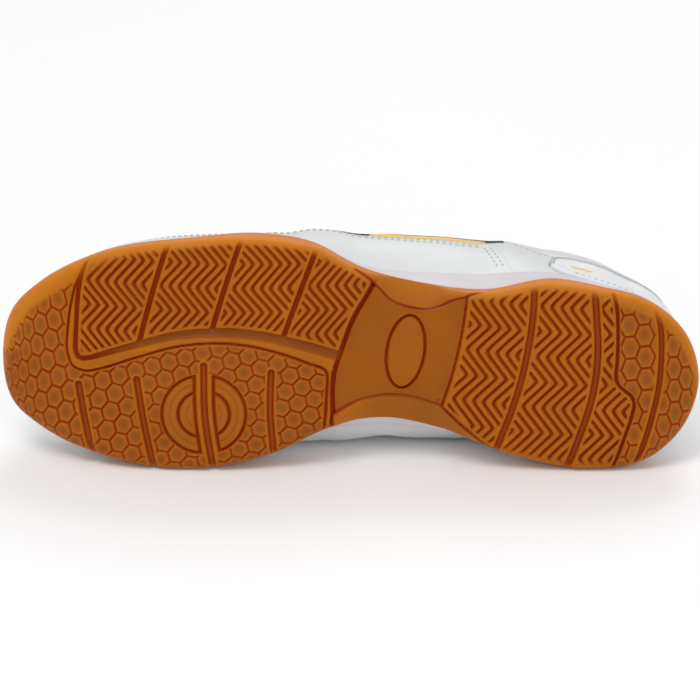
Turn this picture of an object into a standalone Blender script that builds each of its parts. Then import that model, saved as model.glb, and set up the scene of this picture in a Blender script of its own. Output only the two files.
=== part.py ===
"""Left indoor court shoe, laid on its inner side with the tread showing.

Every piece is worked out in the shoe's own frame, in millimetres: x runs from the toe (negative) to
the heel, y towards the inner side of the foot, z up from the tread plane.  The last step lays it down.
"""
import math
from collections import namedtuple

import bmesh
import bpy
import numpy as np

MM = 0.001
GAP = 0.3

# Spine of the shoe: half-planes stand on it, and fan out round its two end points
TOE_CENTRE = (-97.0, 4.0)
HEEL_CENTRE = (103.0, 12.5)
SIDE_STEPS = 22
FAN_STEPS = 14

# Sole
TOE_SPRING = 13.0
SPRING_START = -55.0
TOE_END = -147.0
TREAD_PLATE = 4.6
CUP_WALL = 2.4
WAIST_RAISE = 2.2
GROOVE_DEPTH = 1.7

# Upper, tongue and lace
UPPER_WALL = 2.0
COLLAR_WALL = 7.0
COLLAR_BAND = 22.0
PADDING_START = 62.0
PADDING_FULL = 82.0
FEATHER_LEDGE = 1.0
UPPER_SEAT = 0.7
INSOLE_THICKNESS = 4.0
OVERLAY_GAP = 0.45
OVERLAY_THICKNESS = 1.2
TONGUE_DROP = 3.4
TONGUE_THICKNESS = 4.0
TONGUE_SLOPE = 1.05
TONGUE_BREAK = 52.0
EYELET_RADIUS = 2.3
EYELET_INSET = 9.0
EYELET_STATIONS = (-22.0, -9.6, 2.8, 15.2, 27.6, 40.0)
LACE_WIDTH = 6.0
LACE_THICKNESS = 1.4
LACE_LIFT = 2.3
LACE_STEP = 0.25
LACE_END = 2.5
LACE_ARCH = 1.6

Point = namedtuple("Point", "x y")
Sole = namedtuple(
    "Sole", "x gum_lateral gum_medial edge_lateral edge_medial ledge_lateral ledge_medial top")
Last = namedtuple("Last", "x bulge_lateral bulge_medial high_lateral high_medial ridge power")
Throat = namedtuple("Throat", "x half_width")
Topline = namedtuple("Topline", "x height")
Flap = namedtuple("Flap", "x half_width")
Groove = namedtuple("Groove", "name width path")

# Plan of the gum wall at its widest, from the toe tip along the inner side and back along the outer
SOLE_PLAN = (
    Point(-147.0, 7.0), Point(-142.6, 27.5), Point(-130.0, 38.2), Point(-105.0, 48.0),
    Point(-67.0, 52.8), Point(-34.0, 46.8), Point(-8.0, 35.2), Point(14.0, 31.5),
    Point(40.0, 36.6), Point(70.0, 47.2), Point(101.0, 52.8), Point(126.0, 48.4),
    Point(140.0, 35.6), Point(147.0, 14.0), Point(140.8, -6.8), Point(126.0, -19.4),
    Point(105.0, -25.3), Point(86.0, -28.2), Point(56.0, -24.2), Point(28.0, -27.6),
    Point(4.0, -34.1), Point(-16.0, -44.2), Point(-38.0, -47.6), Point(-67.0, -46.4),
    Point(-105.0, -39.6), Point(-130.0, -26.2), Point(-142.6, -13.0),
)

# Height of the gum wall, width of its rounded lower edge, ledge of the midsole past the gum, its top
SOLE_SECTIONS = (
    Sole(-147.0, 9.0, 9.0, 9.0, 9.0, -4.5, -4.5, 27.0),
    Sole(-120.0, 10.5, 10.5, 7.0, 7.0, -4.4, -3.8, 22.0),
    Sole(-90.0, 11.5, 11.5, 5.0, 5.0, -4.4, -3.4, 18.5),
    Sole(-60.0, 12.0, 12.5, 4.5, 5.0, -4.2, -3.2, 17.5),
    Sole(-36.0, 15.0, 12.5, 4.5, 5.0, -4.0, -1.0, 18.2),
    Sole(-10.0, 13.5, 12.0, 4.5, 6.0, -2.6, 4.0, 19.5),
    Sole(8.0, 11.5, 11.2, 4.0, 10.9, -1.5, 7.0, 20.5),
    Sole(20.0, 11.0, 11.0, 9.0, 12.3, 0.0, 7.5, 21.3),
    Sole(32.0, 11.0, 11.0, 9.2, 11.9, 1.5, 6.8, 22.3),
    Sole(46.0, 11.0, 11.0, 3.5, 6.5, 3.0, 4.5, 23.5),
    Sole(58.0, 11.2, 11.2, 4.0, 4.5, 3.0, 2.0, 24.3),
    Sole(86.0, 14.0, 12.5, 4.5, 5.0, -1.2, -4.0, 25.8),
    Sole(110.0, 11.8, 12.5, 5.0, 5.0, -3.2, -6.4, 26.3),
    Sole(130.0, 11.0, 11.0, 5.5, 5.5, -5.2, -6.4, 26.6),
    Sole(147.0, 9.0, 9.0, 6.0, 6.0, -5.8, -5.8, 27.0),
)

# Widest line of the last past the gum plan, its height, the ridge over the foot and the roundness
LAST_SECTIONS = (
    Last(-147.0, -5.2, -5.2, 35.0, 35.0, 52.0, 2.3),
    Last(-110.0, -5.4, -4.4, 32.0, 32.0, 52.0, 2.3),
    Last(-97.0, -5.6, -4.0, 31.0, 31.0, 53.5, 2.3),
    Last(-60.0, -5.6, -3.2, 30.0, 29.0, 62.0, 2.15),
    Last(-30.0, -5.6, 2.5, 33.0, 30.0, 72.0, 2.0),
    Last(-15.0, -1.8, 9.5, 36.0, 30.5, 78.0, 1.97),
    Last(0.0, 3.4, 14.0, 39.0, 31.0, 84.0, 1.95),
    Last(21.0, 8.0, 14.4, 44.0, 33.0, 93.5, 1.95),
    Last(42.0, 9.4, 11.0, 47.0, 36.0, 104.0, 2.0),
    Last(63.0, 8.0, 2.0, 48.0, 39.0, 109.0, 2.0),
    Last(85.0, -0.6, -5.5, 47.0, 41.0, 111.0, 2.0),
    Last(105.0, -2.8, -8.2, 45.0, 42.0, 112.0, 2.0),
    Last(125.0, -6.6, -8.0, 43.0, 42.0, 112.0, 2.0),
    Last(147.0, -6.6, -6.6, 42.0, 42.0, 112.0, 2.0),
)

THROAT = (
    Throat(-38.0, 0.0), Throat(-33.0, 8.5), Throat(-24.0, 12.0), Throat(-5.0, 13.2),
    Throat(20.0, 16.0), Throat(50.0, 20.0), Throat(60.0, 22.0),
)

TOPLINE = (
    Topline(-100.0, 140.0), Topline(30.0, 130.0), Topline(44.0, 101.0), Topline(54.0, 92.0),
    Topline(66.0, 82.0), Topline(80.0, 76.0), Topline(96.0, 75.0), Topline(112.0, 78.0),
    Topline(128.0, 83.0), Topline(140.0, 88.0), Topline(147.0, 89.0),
)

TONGUE = (
    Flap(-46.0, 15.0), Flap(-30.0, 19.0), Flap(0.0, 23.0), Flap(30.0, 25.0), Flap(48.0, 24.5),
    Flap(62.0, 23.0), Flap(68.0, 18.0),
)

# Main grooves of the tread, each a width and a plan path
GROOVES = (
    Groove("channel", 3.0, ((-112.5, -36.5), (-114.2, -16.0), (-114.0, 0.0), (-108.0, 2.6),
                            (-89.0, -2.6), (-72.2, -7.0), (-58.0, -9.0), (-44.0, -7.8),
                            (-28.0, -5.2), (-16.0, -2.3), (-4.0, 1.0))),
    Groove("block_split_toe", 2.0, ((-75.5, -48.0), (-82.3, -26.5), (-88.7, -2.8))),
    Groove("block_split_middle", 2.0, ((-45.0, -50.0), (-52.5, -26.5), (-57.8, -9.0))),
    Groove("block_split_rear", 2.0, ((-13.0, -46.0), (-21.4, -23.5), (-28.0, -5.4))),
    Groove("medial_slot_toe", 2.5, ((-114.7, 16.5), (-112.8, 27.8), (-109.0, 48.0))),
    Groove("medial_slot_front", 2.5, ((-89.9, 13.5), (-87.8, 27.8), (-82.5, 55.0))),
    Groove("medial_slot_pivot", 2.5, ((-61.5, 7.0), (-61.3, 27.0), (-57.5, 55.0))),
    Groove("medial_slot_rear", 2.5, ((-33.2, 10.0), (-33.6, 27.0), (-31.8, 50.0))),
    Groove("heel_groove_front", 2.7, ((77.5, -33.0), (76.7, -13.3), (75.0, -0.9), (72.0, 13.7),
                                      (68.3, 26.1), (62.0, 43.0), (59.5, 50.0))),
    Groove("heel_groove_middle", 2.9, ((102.3, -32.0), (103.5, -13.5), (104.2, -0.9), (103.2, 13.7),
                                       (100.8, 25.5), (97.0, 37.4), (90.0, 56.0))),
    Groove("heel_groove_rear", 2.0, ((128.0, -24.0), (130.7, -7.1), (130.9, 3.3), (129.8, 17.2),
                                     (127.7, 27.6), (124.7, 38.7), (119.0, 55.0))),
)

# The smooth waist lies a little above the tread plane, between these two edges
WAIST_FRONT = ((16.0, -46.0), (9.7, -28.3), (1.1, -12.6), (-3.6, 0.4), (-6.6, 10.2), (-7.3, 28.3),
               (-8.0, 46.0))
WAIST_REAR = ((50.0, -40.0), (48.9, -22.0), (47.3, -9.2), (44.9, 3.3), (42.0, 14.3), (38.6, 24.8),
              (46.0, 32.4), (60.0, 46.0))


def column(table, name):
    """One named column of a table as an array."""
    return np.array([getattr(row, name) for row in table], float)


def smooth(table, name, x):
    """A column's value at x, by a cubic through the rows that never overshoots them."""
    xs, ys = column(table, "x"), column(table, name)
    x = np.clip(np.asarray(x, float), xs[0], xs[-1])
    step = np.diff(xs)
    slope = np.diff(ys) / step
    product = slope[:-1] * slope[1:]
    total = np.where(product > 0, slope[:-1] + slope[1:], 1.0)
    inner = np.where(product > 0, 2.0 * product / total, 0.0)
    tangent = np.concatenate([slope[:1], inner, slope[-1:]])
    i = np.clip(np.searchsorted(xs, x, "right") - 1, 0, len(step) - 1)
    t = (x - xs[i]) / step[i]
    rise = ys[i] * (1 + 2 * t) * (1 - t) ** 2 + ys[i + 1] * t * t * (3 - 2 * t)
    return rise + step[i] * (tangent[i] * t * (1 - t) ** 2 + tangent[i + 1] * t * t * (t - 1))


def closed_curve(points, per_span):
    """A smooth closed curve through plan points."""
    p = np.array(points, float)
    ahead = np.roll(p, -1, 0)
    chord = np.linalg.norm(ahead - p, axis=1)[:, None]
    slope = (ahead - p) / chord
    back_chord, back_slope = np.roll(chord, 1, 0), np.roll(slope, 1, 0)
    tangent = (back_slope * chord + slope * back_chord) / (chord + back_chord)
    t = np.linspace(0, 1, per_span, endpoint=False)[None, :, None]
    a, b = p[:, None], ahead[:, None]
    va, vb = (tangent * chord)[:, None], (np.roll(tangent, -1, 0) * chord)[:, None]
    curve = a * (1 + 2 * t) * (1 - t) ** 2 + b * t * t * (3 - 2 * t)
    return (curve + va * t * (1 - t) ** 2 + vb * t * t * (t - 1)).reshape(-1, 2)


def open_curve(points, spacing):
    """A smooth open path through plan points, at about even spacing."""
    p = np.array(points, float)
    chord = np.linalg.norm(np.diff(p, axis=0), axis=1)
    at = np.concatenate([[0], np.cumsum(chord)])
    slope = np.gradient(p, at, axis=0)
    s = np.linspace(0, at[-1], max(2, int(round(at[-1] / spacing)) + 1))
    i = np.clip(np.searchsorted(at, s, "right") - 1, 0, len(chord) - 1)
    t = ((s - at[i]) / chord[i])[:, None]
    h = chord[i][:, None]
    path = p[i] * (1 + 2 * t) * (1 - t) ** 2 + p[i + 1] * t * t * (3 - 2 * t)
    return path + h * (slope[i] * t * (1 - t) ** 2 + slope[i + 1] * t * t * (t - 1))


SOLE_CURVE = closed_curve(SOLE_PLAN, 30)


def spine_y(x):
    """Side position of the spine at x."""
    share = (np.asarray(x, float) - TOE_CENTRE[0]) / (HEEL_CENTRE[0] - TOE_CENTRE[0])
    return TOE_CENTRE[1] + np.clip(share, 0, 1) * (HEEL_CENTRE[1] - TOE_CENTRE[1])


class Columns:
    """Half-planes that stand on the spine, with the sizes of sole and last in each."""

    def __init__(self, cx, cy, dx, dy):
        self.cx, self.cy, self.dx, self.dy = (np.asarray(v, float) for v in (cx, cy, dx, dy))
        rel = SOLE_CURVE[None] - np.stack([self.cx, self.cy], 1)[:, None]
        side = self.dx[:, None] * rel[..., 1] - self.dy[:, None] * rel[..., 0]
        along = self.dx[:, None] * rel[..., 0] + self.dy[:, None] * rel[..., 1]
        side2, along2 = np.roll(side, -1, 1), np.roll(along, -1, 1)
        crosses = (side <= 0) != (side2 <= 0)
        t = side / np.where(crosses, side - side2, 1.0)
        self.reach = np.where(crosses, along + t * (along2 - along), -1.0).max(1)
        self.x = self.cx + self.dx * self.reach
        self.lateral = self.dy < 0

    def of(self, table, name):
        """A table's value on each column's own side of the foot."""
        return np.where(self.lateral, smooth(table, name + "_lateral", self.x),
                        smooth(table, name + "_medial", self.x))

    def at(self, radius, z):
        """Points of a ring at a distance from the spine and a height."""
        radius, z = np.broadcast_to(radius, self.cx.shape), np.broadcast_to(z, self.cx.shape)
        return np.stack([self.cx + self.dx * radius, self.cy + self.dy * radius, z], 1)

    def on(self, radius, height):
        """Points of a ring at a distance from the spine, at a height that depends on x."""
        x = self.cx + self.dx * radius
        return self.at(radius, height(x))


def ring_columns():
    """Columns once round the shoe: outer side forwards, toe, inner side backwards, heel."""
    sides = np.linspace(HEEL_CENTRE[0], TOE_CENTRE[0], SIDE_STEPS + 1)
    toe = np.radians(np.linspace(270, 90, FAN_STEPS + 1)[1:-1])
    heel = np.radians(np.linspace(90, -90, FAN_STEPS + 1)[1:-1])
    ones = np.ones_like(sides)
    cx = np.concatenate([sides, 0 * toe + TOE_CENTRE[0], sides[::-1], 0 * heel + HEEL_CENTRE[0]])
    dx = np.concatenate([0 * ones, np.cos(toe), 0 * ones, np.cos(heel)])
    dy = np.concatenate([-ones, np.sin(toe), ones, np.sin(heel)])
    return Columns(cx, spine_y(cx), dx, dy)


RING = ring_columns()


def tread_height(x):
    """Height of the tread, flat from the heel to the ball and rising to the toe."""
    share = np.clip((SPRING_START - np.asarray(x, float)) / (SPRING_START - TOE_END), 0, None)
    return TOE_SPRING * share ** 2


def plate_top(x):
    """Height of the floor inside the outsole's cup."""
    return tread_height(x) + TREAD_PLATE


def midsole_top(x):
    """Height of the midsole under the foot."""
    return smooth(SOLE_SECTIONS, "top", x)


def material(name, colour, roughness):
    """One plain finish."""
    finish = bpy.data.materials.new(name)
    finish.use_nodes = True
    shader = finish.node_tree.nodes["Principled BSDF"]
    shader.inputs["Base Color"].default_value = (*colour, 1.0)
    shader.inputs["Roughness"].default_value = roughness
    return finish


def add_mesh(name, points, faces, finish=None, outward_from=None):
    """A mesh object from points in millimetres, with doubled points joined and faces turned outward."""
    mesh = bpy.data.meshes.new(name)
    mesh.from_pydata((np.asarray(points, float) * MM).tolist(), [], faces)
    bm = bmesh.new()
    bm.from_mesh(mesh)
    bmesh.ops.remove_doubles(bm, verts=bm.verts, dist=1e-6)
    bmesh.ops.dissolve_degenerate(bm, edges=bm.edges, dist=1e-7)
    bmesh.ops.recalc_face_normals(bm, faces=bm.faces)
    if outward_from is not None:
        votes = sum(f.normal.dot(f.calc_center_median() - outward_from(f.calc_center_median()))
                    * f.calc_area() for f in bm.faces)
        if votes < 0:
            bmesh.ops.reverse_faces(bm, faces=bm.faces)
    bm.to_mesh(mesh)
    bm.free()
    thing = bpy.data.objects.new(name, mesh)
    bpy.context.collection.objects.link(thing)
    if finish:
        mesh.materials.append(finish)
    return thing


def grid_faces(across, along, closed):
    """Triangles of a grid of columns and rows, numbered column by column, all split the same way."""
    faces = []
    for i in range(across if closed else across - 1):
        here, ahead = i * along, (i + 1) % across * along
        for j in range(along - 1):
            faces.append((here + j, ahead + j, ahead + j + 1))
            faces.append((here + j, ahead + j + 1, here + j + 1))
    return faces


def ring_solid(name, rows, finish):
    """A solid from rings that start and end on the spine."""
    grid = np.stack(rows, 1)
    return add_mesh(name, grid.reshape(-1, 3), grid_faces(grid.shape[0], grid.shape[1], True), finish)


def helper(thing):
    """A cutting or joining shape, kept out of the finished part."""
    thing.hide_render = True
    thing.display_type = "WIRE"
    return thing


def swept_cutter(name, left, right, top, bottom):
    """A closed bar between two plan paths, from a floor to a height that follows the tread."""
    count = len(left)
    rows = [np.column_stack([left, top]), np.column_stack([right, top]),
            np.column_stack([right, np.full(count, bottom)]), np.column_stack([left, np.full(count, bottom)])]
    grid = np.stack(rows, 1)
    faces = [(i * 4 + j, i * 4 + (j + 1) % 4, i * 4 + 4 + (j + 1) % 4, i * 4 + 4 + j)
             for i in range(count - 1) for j in range(4)]
    faces += [(0, 1, 2, 3), tuple(4 * (count - 1) + j for j in range(4))]
    return helper(add_mesh(name, grid.reshape(-1, 3), faces))


def boolean(thing, other, operation):
    """A Boolean with one helper shape."""
    step = thing.modifiers.new(other.name, "BOOLEAN")
    step.operation = operation
    step.solver = "EXACT"
    step.object = other


def build_outsole(finish):
    """Gum cup with its tread plate, side wall and main grooves."""
    reach, ring = RING.reach, RING
    edge, gum = ring.of(SOLE_SECTIONS, "edge"), ring.of(SOLE_SECTIONS, "gum")
    base = tread_height(ring.x)
    edge_high = np.minimum(0.9 * edge, gum - 3.0)
    flat = np.clip((edge - 5.0) / 6.0, 0, 1)
    round_in, round_up = 0.293 + flat * 0.207, 0.293 + flat * 0.207
    tread = reach - edge
    tread_z = tread_height(ring.cx + ring.dx * tread)
    corner = reach - np.maximum(3.2, 0.65 * edge + 0.6)
    rows = [
        ring.on(0 * reach, tread_height),
        ring.on(0.55 * tread, tread_height),
        ring.at(tread, tread_z),
        ring.at(reach - edge * round_in, tread_z + (base + edge_high - tread_z) * round_up),
        ring.at(reach, base + edge_high),
        ring.at(reach - 0.5, base + gum),
        ring.at(reach - 0.5 - CUP_WALL, base + gum),
        ring.on(corner, plate_top),
        ring.on(0.55 * corner, plate_top),
        ring.on(0 * reach, plate_top),
    ]
    outsole = ring_solid("outsole", rows, finish)
    for groove in GROOVES:
        path = open_curve(groove.path, 9.0)
        run = np.gradient(path, axis=0)
        across = np.stack([-run[:, 1], run[:, 0]], 1) / np.linalg.norm(run, axis=1)[:, None]
        half = groove.width / 2 * across
        top = tread_height(path[:, 0]) + GROOVE_DEPTH
        boolean(outsole, swept_cutter("cut_" + groove.name, path - half, path + half, top, -8.0), "DIFFERENCE")
    front, rear = np.array(WAIST_FRONT), np.array(WAIST_REAR)
    share = np.linspace(0, 1, 10)
    along = [np.stack([np.interp(share, np.linspace(0, 1, len(p)), p[:, k]) for k in (0, 1)], 1)
             for p in (front, rear)]
    waist = swept_cutter("cut_waist", along[0], along[1], np.full(10, WAIST_RAISE), -8.0)
    boolean(outsole, waist, "DIFFERENCE")
    return outsole


def build_midsole(finish):
    """Foam wedge in the gum cup, with a lip over its wall."""
    reach, ring = RING.reach, RING
    edge, gum = ring.of(SOLE_SECTIONS, "edge"), ring.of(SOLE_SECTIONS, "gum")
    seat = tread_height(ring.x) + gum + GAP
    corner = reach - np.maximum(3.2, 0.65 * edge + 0.6) - 0.4
    rim = reach + ring.of(SOLE_SECTIONS, "ledge")
    top = midsole_top(ring.cx + ring.dx * rim)

    def floor(x):
        return plate_top(x) + GAP

    rows = [
        ring.on(0 * reach, midsole_top),
        ring.on(0.55 * corner, midsole_top),
        ring.at(rim, top),
        ring.at(0.5 * (reach - 0.6 + rim) + 0.5, 0.5 * (seat + top)),
        ring.at(reach - 0.9, seat),
        ring.at(reach - 0.5 - CUP_WALL - 0.4, seat),
        ring.on(corner, floor),
        ring.on(0.55 * corner, floor),
        ring.on(0 * reach, floor),
    ]
    return ring_solid("midsole", rows, finish)


def build_insole(finish):
    """Foot bed on the midsole, inside the upper's wall."""
    edge = feather_radius(RING) - UPPER_WALL - 1.8

    def bottom(x):
        return midsole_top(x) + GAP

    def top(x):
        return midsole_top(x) + GAP + INSOLE_THICKNESS

    rows = [RING.on(0 * edge, bottom), RING.on(0.55 * edge, bottom), RING.on(edge, bottom),
            RING.on(edge, top), RING.on(0.55 * edge, top), RING.on(0 * edge, top)]
    return ring_solid("insole", rows, finish)


def feather_radius(columns):
    """Distance from the spine at which the upper meets the midsole."""
    return columns.reach + columns.of(SOLE_SECTIONS, "ledge") - FEATHER_LEDGE


def last_profile(columns, samples=80):
    """Dense profiles of the last from the feather line up to the upper's rim, one a column."""
    wide = columns.reach + columns.of(LAST_SECTIONS, "bulge")
    high = columns.of(LAST_SECTIONS, "high")
    ridge, power = smooth(LAST_SECTIONS, "ridge", columns.cx), smooth(LAST_SECTIONS, "power", columns.cx)
    foot = feather_radius(columns)
    foot_z = midsole_top(columns.cx + columns.dx * foot) + UPPER_SEAT
    throat = np.where(columns.cx > THROAT[0].x, smooth(THROAT, "half_width", columns.cx), 0.0)
    line = smooth(TOPLINE, "height", columns.x)
    by_throat = np.arccos(np.clip(throat / wide, 0, 1) ** (power / 2))
    by_line = np.arcsin(np.clip((line - high) / (ridge - high), 0, 1) ** (power / 2))
    rim = np.minimum(by_throat, by_line)
    t = np.linspace(0, 1, samples // 4, endpoint=False)[None]
    low_d = foot[:, None] + (wide - foot)[:, None] * np.sin(t * math.pi / 2)
    low_z = foot_z[:, None] + (high - foot_z)[:, None] * t
    turn = rim[:, None] * np.linspace(0, 1, samples)[None]
    top_d = wide[:, None] * np.clip(np.cos(turn), 0, 1) ** (2 / power[:, None])
    top_z = high[:, None] + (ridge - high)[:, None] * np.sin(turn) ** (2 / power[:, None])
    top_d[rim > math.pi / 2 - 1e-6, -1] = 0.0
    return np.concatenate([low_d, top_d], 1), np.concatenate([low_z, top_z], 1)


def profile_points(columns, arcs):
    """Points of the last's surface at given lengths along each column's profile."""
    d, z = last_profile(columns)
    run = np.concatenate([np.zeros((len(d), 1)), np.cumsum(np.hypot(np.diff(d), np.diff(z)), 1)], 1)
    wanted = arcs(run[:, -1])
    dist = np.stack([np.interp(w, r, v) for w, r, v in zip(wanted, run, d)])
    height = np.stack([np.interp(w, r, v) for w, r, v in zip(wanted, run, z)])
    x = columns.cx[:, None] + columns.dx[:, None] * dist
    y = columns.cy[:, None] + columns.dy[:, None] * dist
    return np.stack([x, y, height], 2)


def inside_point(place):
    """A point of the foot's middle line, for telling outward from inward."""
    x = min(max(place.x / MM, TOE_CENTRE[0]), HEEL_CENTRE[0])
    middle = place.copy()
    middle.x, middle.y, middle.z = x * MM, float(spine_y(x)) * MM, 40.0 * MM
    return middle


def shell(thing, thickness, offset):
    """Wall of a sheet, on one side of it."""
    wall = thing.modifiers.new("wall", "SOLIDIFY")
    wall.thickness = thickness * MM
    wall.offset = offset
    wall.use_even_offset = offset < 0
    return wall


def build_upper(finish):
    """Hollow shell over the last, open at the collar, the throat and underneath."""
    lower = np.linspace(0, 1, 9)

    def arcs(length):
        body = lower[None] * (length - COLLAR_BAND)[:, None]
        return np.concatenate([body, length[:, None] - COLLAR_BAND * np.array([[0.64, 0.3, 0.0]])], 1)

    points = profile_points(RING, arcs)
    across, along = points.shape[:2]
    upper = add_mesh("upper", points.reshape(-1, 3), grid_faces(across, along, True), finish, inside_point)
    rim_share = {}
    for share, row in zip((0.0, 0.55, 1.0), (-3, -2, -1)):
        padding = np.clip((points[:, row, 0] - PADDING_START) / (PADDING_FULL - PADDING_START), 0, 1)
        for place, weight in zip(points[:, row], padding * share):
            rim_share[tuple(np.round(place, 3))] = weight
    group = upper.vertex_groups.new(name="wall")
    for vertex in upper.data.vertices:
        extra = rim_share.get(tuple(np.round(np.array(vertex.co) / MM, 3)), 0.0)
        group.add([vertex.index], (UPPER_WALL + extra * (COLLAR_WALL - UPPER_WALL)) / COLLAR_WALL, "REPLACE")
    shell(upper, COLLAR_WALL, -1.0).vertex_group = "wall"
    return upper


def build_overlay(name, columns, closed, arcs, finish):
    """A panel that lies on the upper, from the same surface."""
    points = profile_points(columns, arcs)
    across, along = points.shape[:2]
    panel = add_mesh(name, points.reshape(-1, 3), grid_faces(across, along, closed), finish, inside_point)
    bm = bmesh.new()
    bm.from_mesh(panel.data)
    bm.normal_update()
    for vertex in bm.verts:
        vertex.co += vertex.normal * OVERLAY_GAP * MM
    bm.to_mesh(panel.data)
    bm.free()
    shell(panel, OVERLAY_THICKNESS, 1.0)
    return panel


def build_heel_counter(finish):
    """Reinforcement round the heel, rounded at its two front ends."""
    start = HEEL_CENTRE[0] - 2 * (HEEL_CENTRE[0] - TOE_CENTRE[0]) / SIDE_STEPS
    sides = np.linspace(HEEL_CENTRE[0], start, 3)
    heel = np.radians(np.linspace(90, -90, FAN_STEPS + 1)[1:-1])
    cx = np.concatenate([sides[::-1], 0 * heel + HEEL_CENTRE[0], sides])
    dx = np.concatenate([0 * sides, np.cos(heel), 0 * sides])
    dy = np.concatenate([0 * sides + 1, np.sin(heel), 0 * sides - 1])
    columns = Columns(cx, spine_y(cx), dx, dy)
    tip = np.clip((cx - start) / (HEEL_CENTRE[0] - start), 0, 1)
    open_share = 0.45 + 0.55 * np.sqrt(1 - (1 - tip) ** 2)

    def arcs(length):
        low, top = np.full_like(length, 2.5), length - COLLAR_BAND - 3.0
        middle, half = 0.5 * (low + top), 0.5 * (top - low) * open_share
        return middle[:, None] + half[:, None] * np.linspace(-1, 1, 8)[None]

    return build_overlay("heel_counter", columns, False, arcs, finish)


def build_eyestay(finish, inset=18.0):
    """Reinforcement round the throat, joined in front of it."""
    step = (HEEL_CENTRE[0] - TOE_CENTRE[0]) / SIDE_STEPS
    xs = HEEL_CENTRE[0] - step * np.arange(6, 18)
    cx = np.concatenate([xs, xs[::-1]])
    dy = np.concatenate([-np.ones_like(xs), np.ones_like(xs)])
    columns = Columns(cx, spine_y(cx), 0 * cx, dy)
    front = np.clip((cx - xs[-1]) / (2 * step), 0, 1)
    rear = np.clip((xs[0] - cx) / (2 * step), 0, 1)
    width = inset * (0.6 + 0.4 * np.sqrt(1 - (1 - front) ** 2)) * (0.5 + 0.5 * np.sqrt(rear))

    def arcs(length):
        return length[:, None] - width[:, None] * np.linspace(1, 0, 4)[None]

    return build_overlay("eyestay", columns, False, arcs, finish)


def build_tongue(finish):
    """Padded flap under the throat, standing past the top eyelets."""
    xs = np.linspace(TONGUE[0].x, TONGUE[-1].x, 15)
    half = smooth(TONGUE, "half_width", xs)
    t = np.linspace(-1, 1, 11)
    x = np.repeat(xs[:, None], len(t), 1)
    side = half[:, None] * t[None]
    sizes = {}
    for label, dy in (("lateral", -1.0), ("medial", 1.0)):
        columns = Columns(xs, spine_y(xs), 0 * xs, 0 * xs + dy)
        sizes[label] = (columns.reach + columns.of(LAST_SECTIONS, "bulge"), columns.of(LAST_SECTIONS, "high"))
    wide = np.where(side < 0, sizes["lateral"][0][:, None], sizes["medial"][0][:, None])
    high = np.where(side < 0, sizes["lateral"][1][:, None], sizes["medial"][1][:, None])
    power = smooth(LAST_SECTIONS, "power", xs)[:, None]
    crest = smooth(LAST_SECTIONS, "ridge", np.minimum(xs, TONGUE_BREAK))
    crest = (crest + np.clip(xs - TONGUE_BREAK, 0, None) * TONGUE_SLOPE)[:, None]
    z = high + (crest - high) * (1 - np.abs(side / wide) ** power) ** (1 / power)
    points = np.stack([x, spine_y(x) + side, z], 2)
    normal = np.cross(np.gradient(points, axis=0), np.gradient(points, axis=1))
    normal /= np.linalg.norm(normal, axis=2)[..., None]
    points = points - TONGUE_DROP * normal * np.sign(normal[..., 2:])
    tongue = add_mesh("tongue", points.reshape(-1, 3), grid_faces(len(xs), len(t), False), finish, inside_point)
    shell(tongue, TONGUE_THICKNESS, -1.0)
    return tongue


def throat_place(x, dy, inset):
    """A point of the last near the throat's edge and the direction out of its surface."""
    near = np.array([x - 1.0, x, x + 1.0])
    columns = Columns(near, spine_y(near), 0 * near, 0 * near + dy)
    points = profile_points(columns, lambda length: length[:, None] - np.array([[inset + 1.0, inset]]))
    along, up = points[2, 1] - points[0, 1], points[1, 1] - points[1, 0]
    normal = np.cross(along, up)
    normal /= np.linalg.norm(normal)
    return points[1, 1], normal * np.sign(normal[2])


def cut_eyelets(pieces):
    """Lace holes through the eyestay and the upper."""
    for index, x in enumerate(EYELET_STATIONS):
        for label, dy in (("lateral", -1.0), ("medial", 1.0)):
            place, normal = throat_place(x, dy, EYELET_INSET)
            first = np.cross(normal, (1.0, 0.0, 0.0))
            first /= np.linalg.norm(first)
            second = np.cross(normal, first)
            turn = np.radians(np.arange(8) * 45.0)[:, None]
            circle = EYELET_RADIUS * (np.cos(turn) * first + np.sin(turn) * second)
            ends = np.concatenate([place + circle + 4.0 * normal, place + circle - 4.0 * normal])
            faces = [(i, (i + 1) % 8, 8 + (i + 1) % 8, 8 + i) for i in range(8)]
            faces += [tuple(range(8)), tuple(range(15, 7, -1))]
            hole = helper(add_mesh("eyelet_%s_%d" % (label, index), ends, faces))
            for piece in pieces:
                boolean(piece, hole, "DIFFERENCE")


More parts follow.
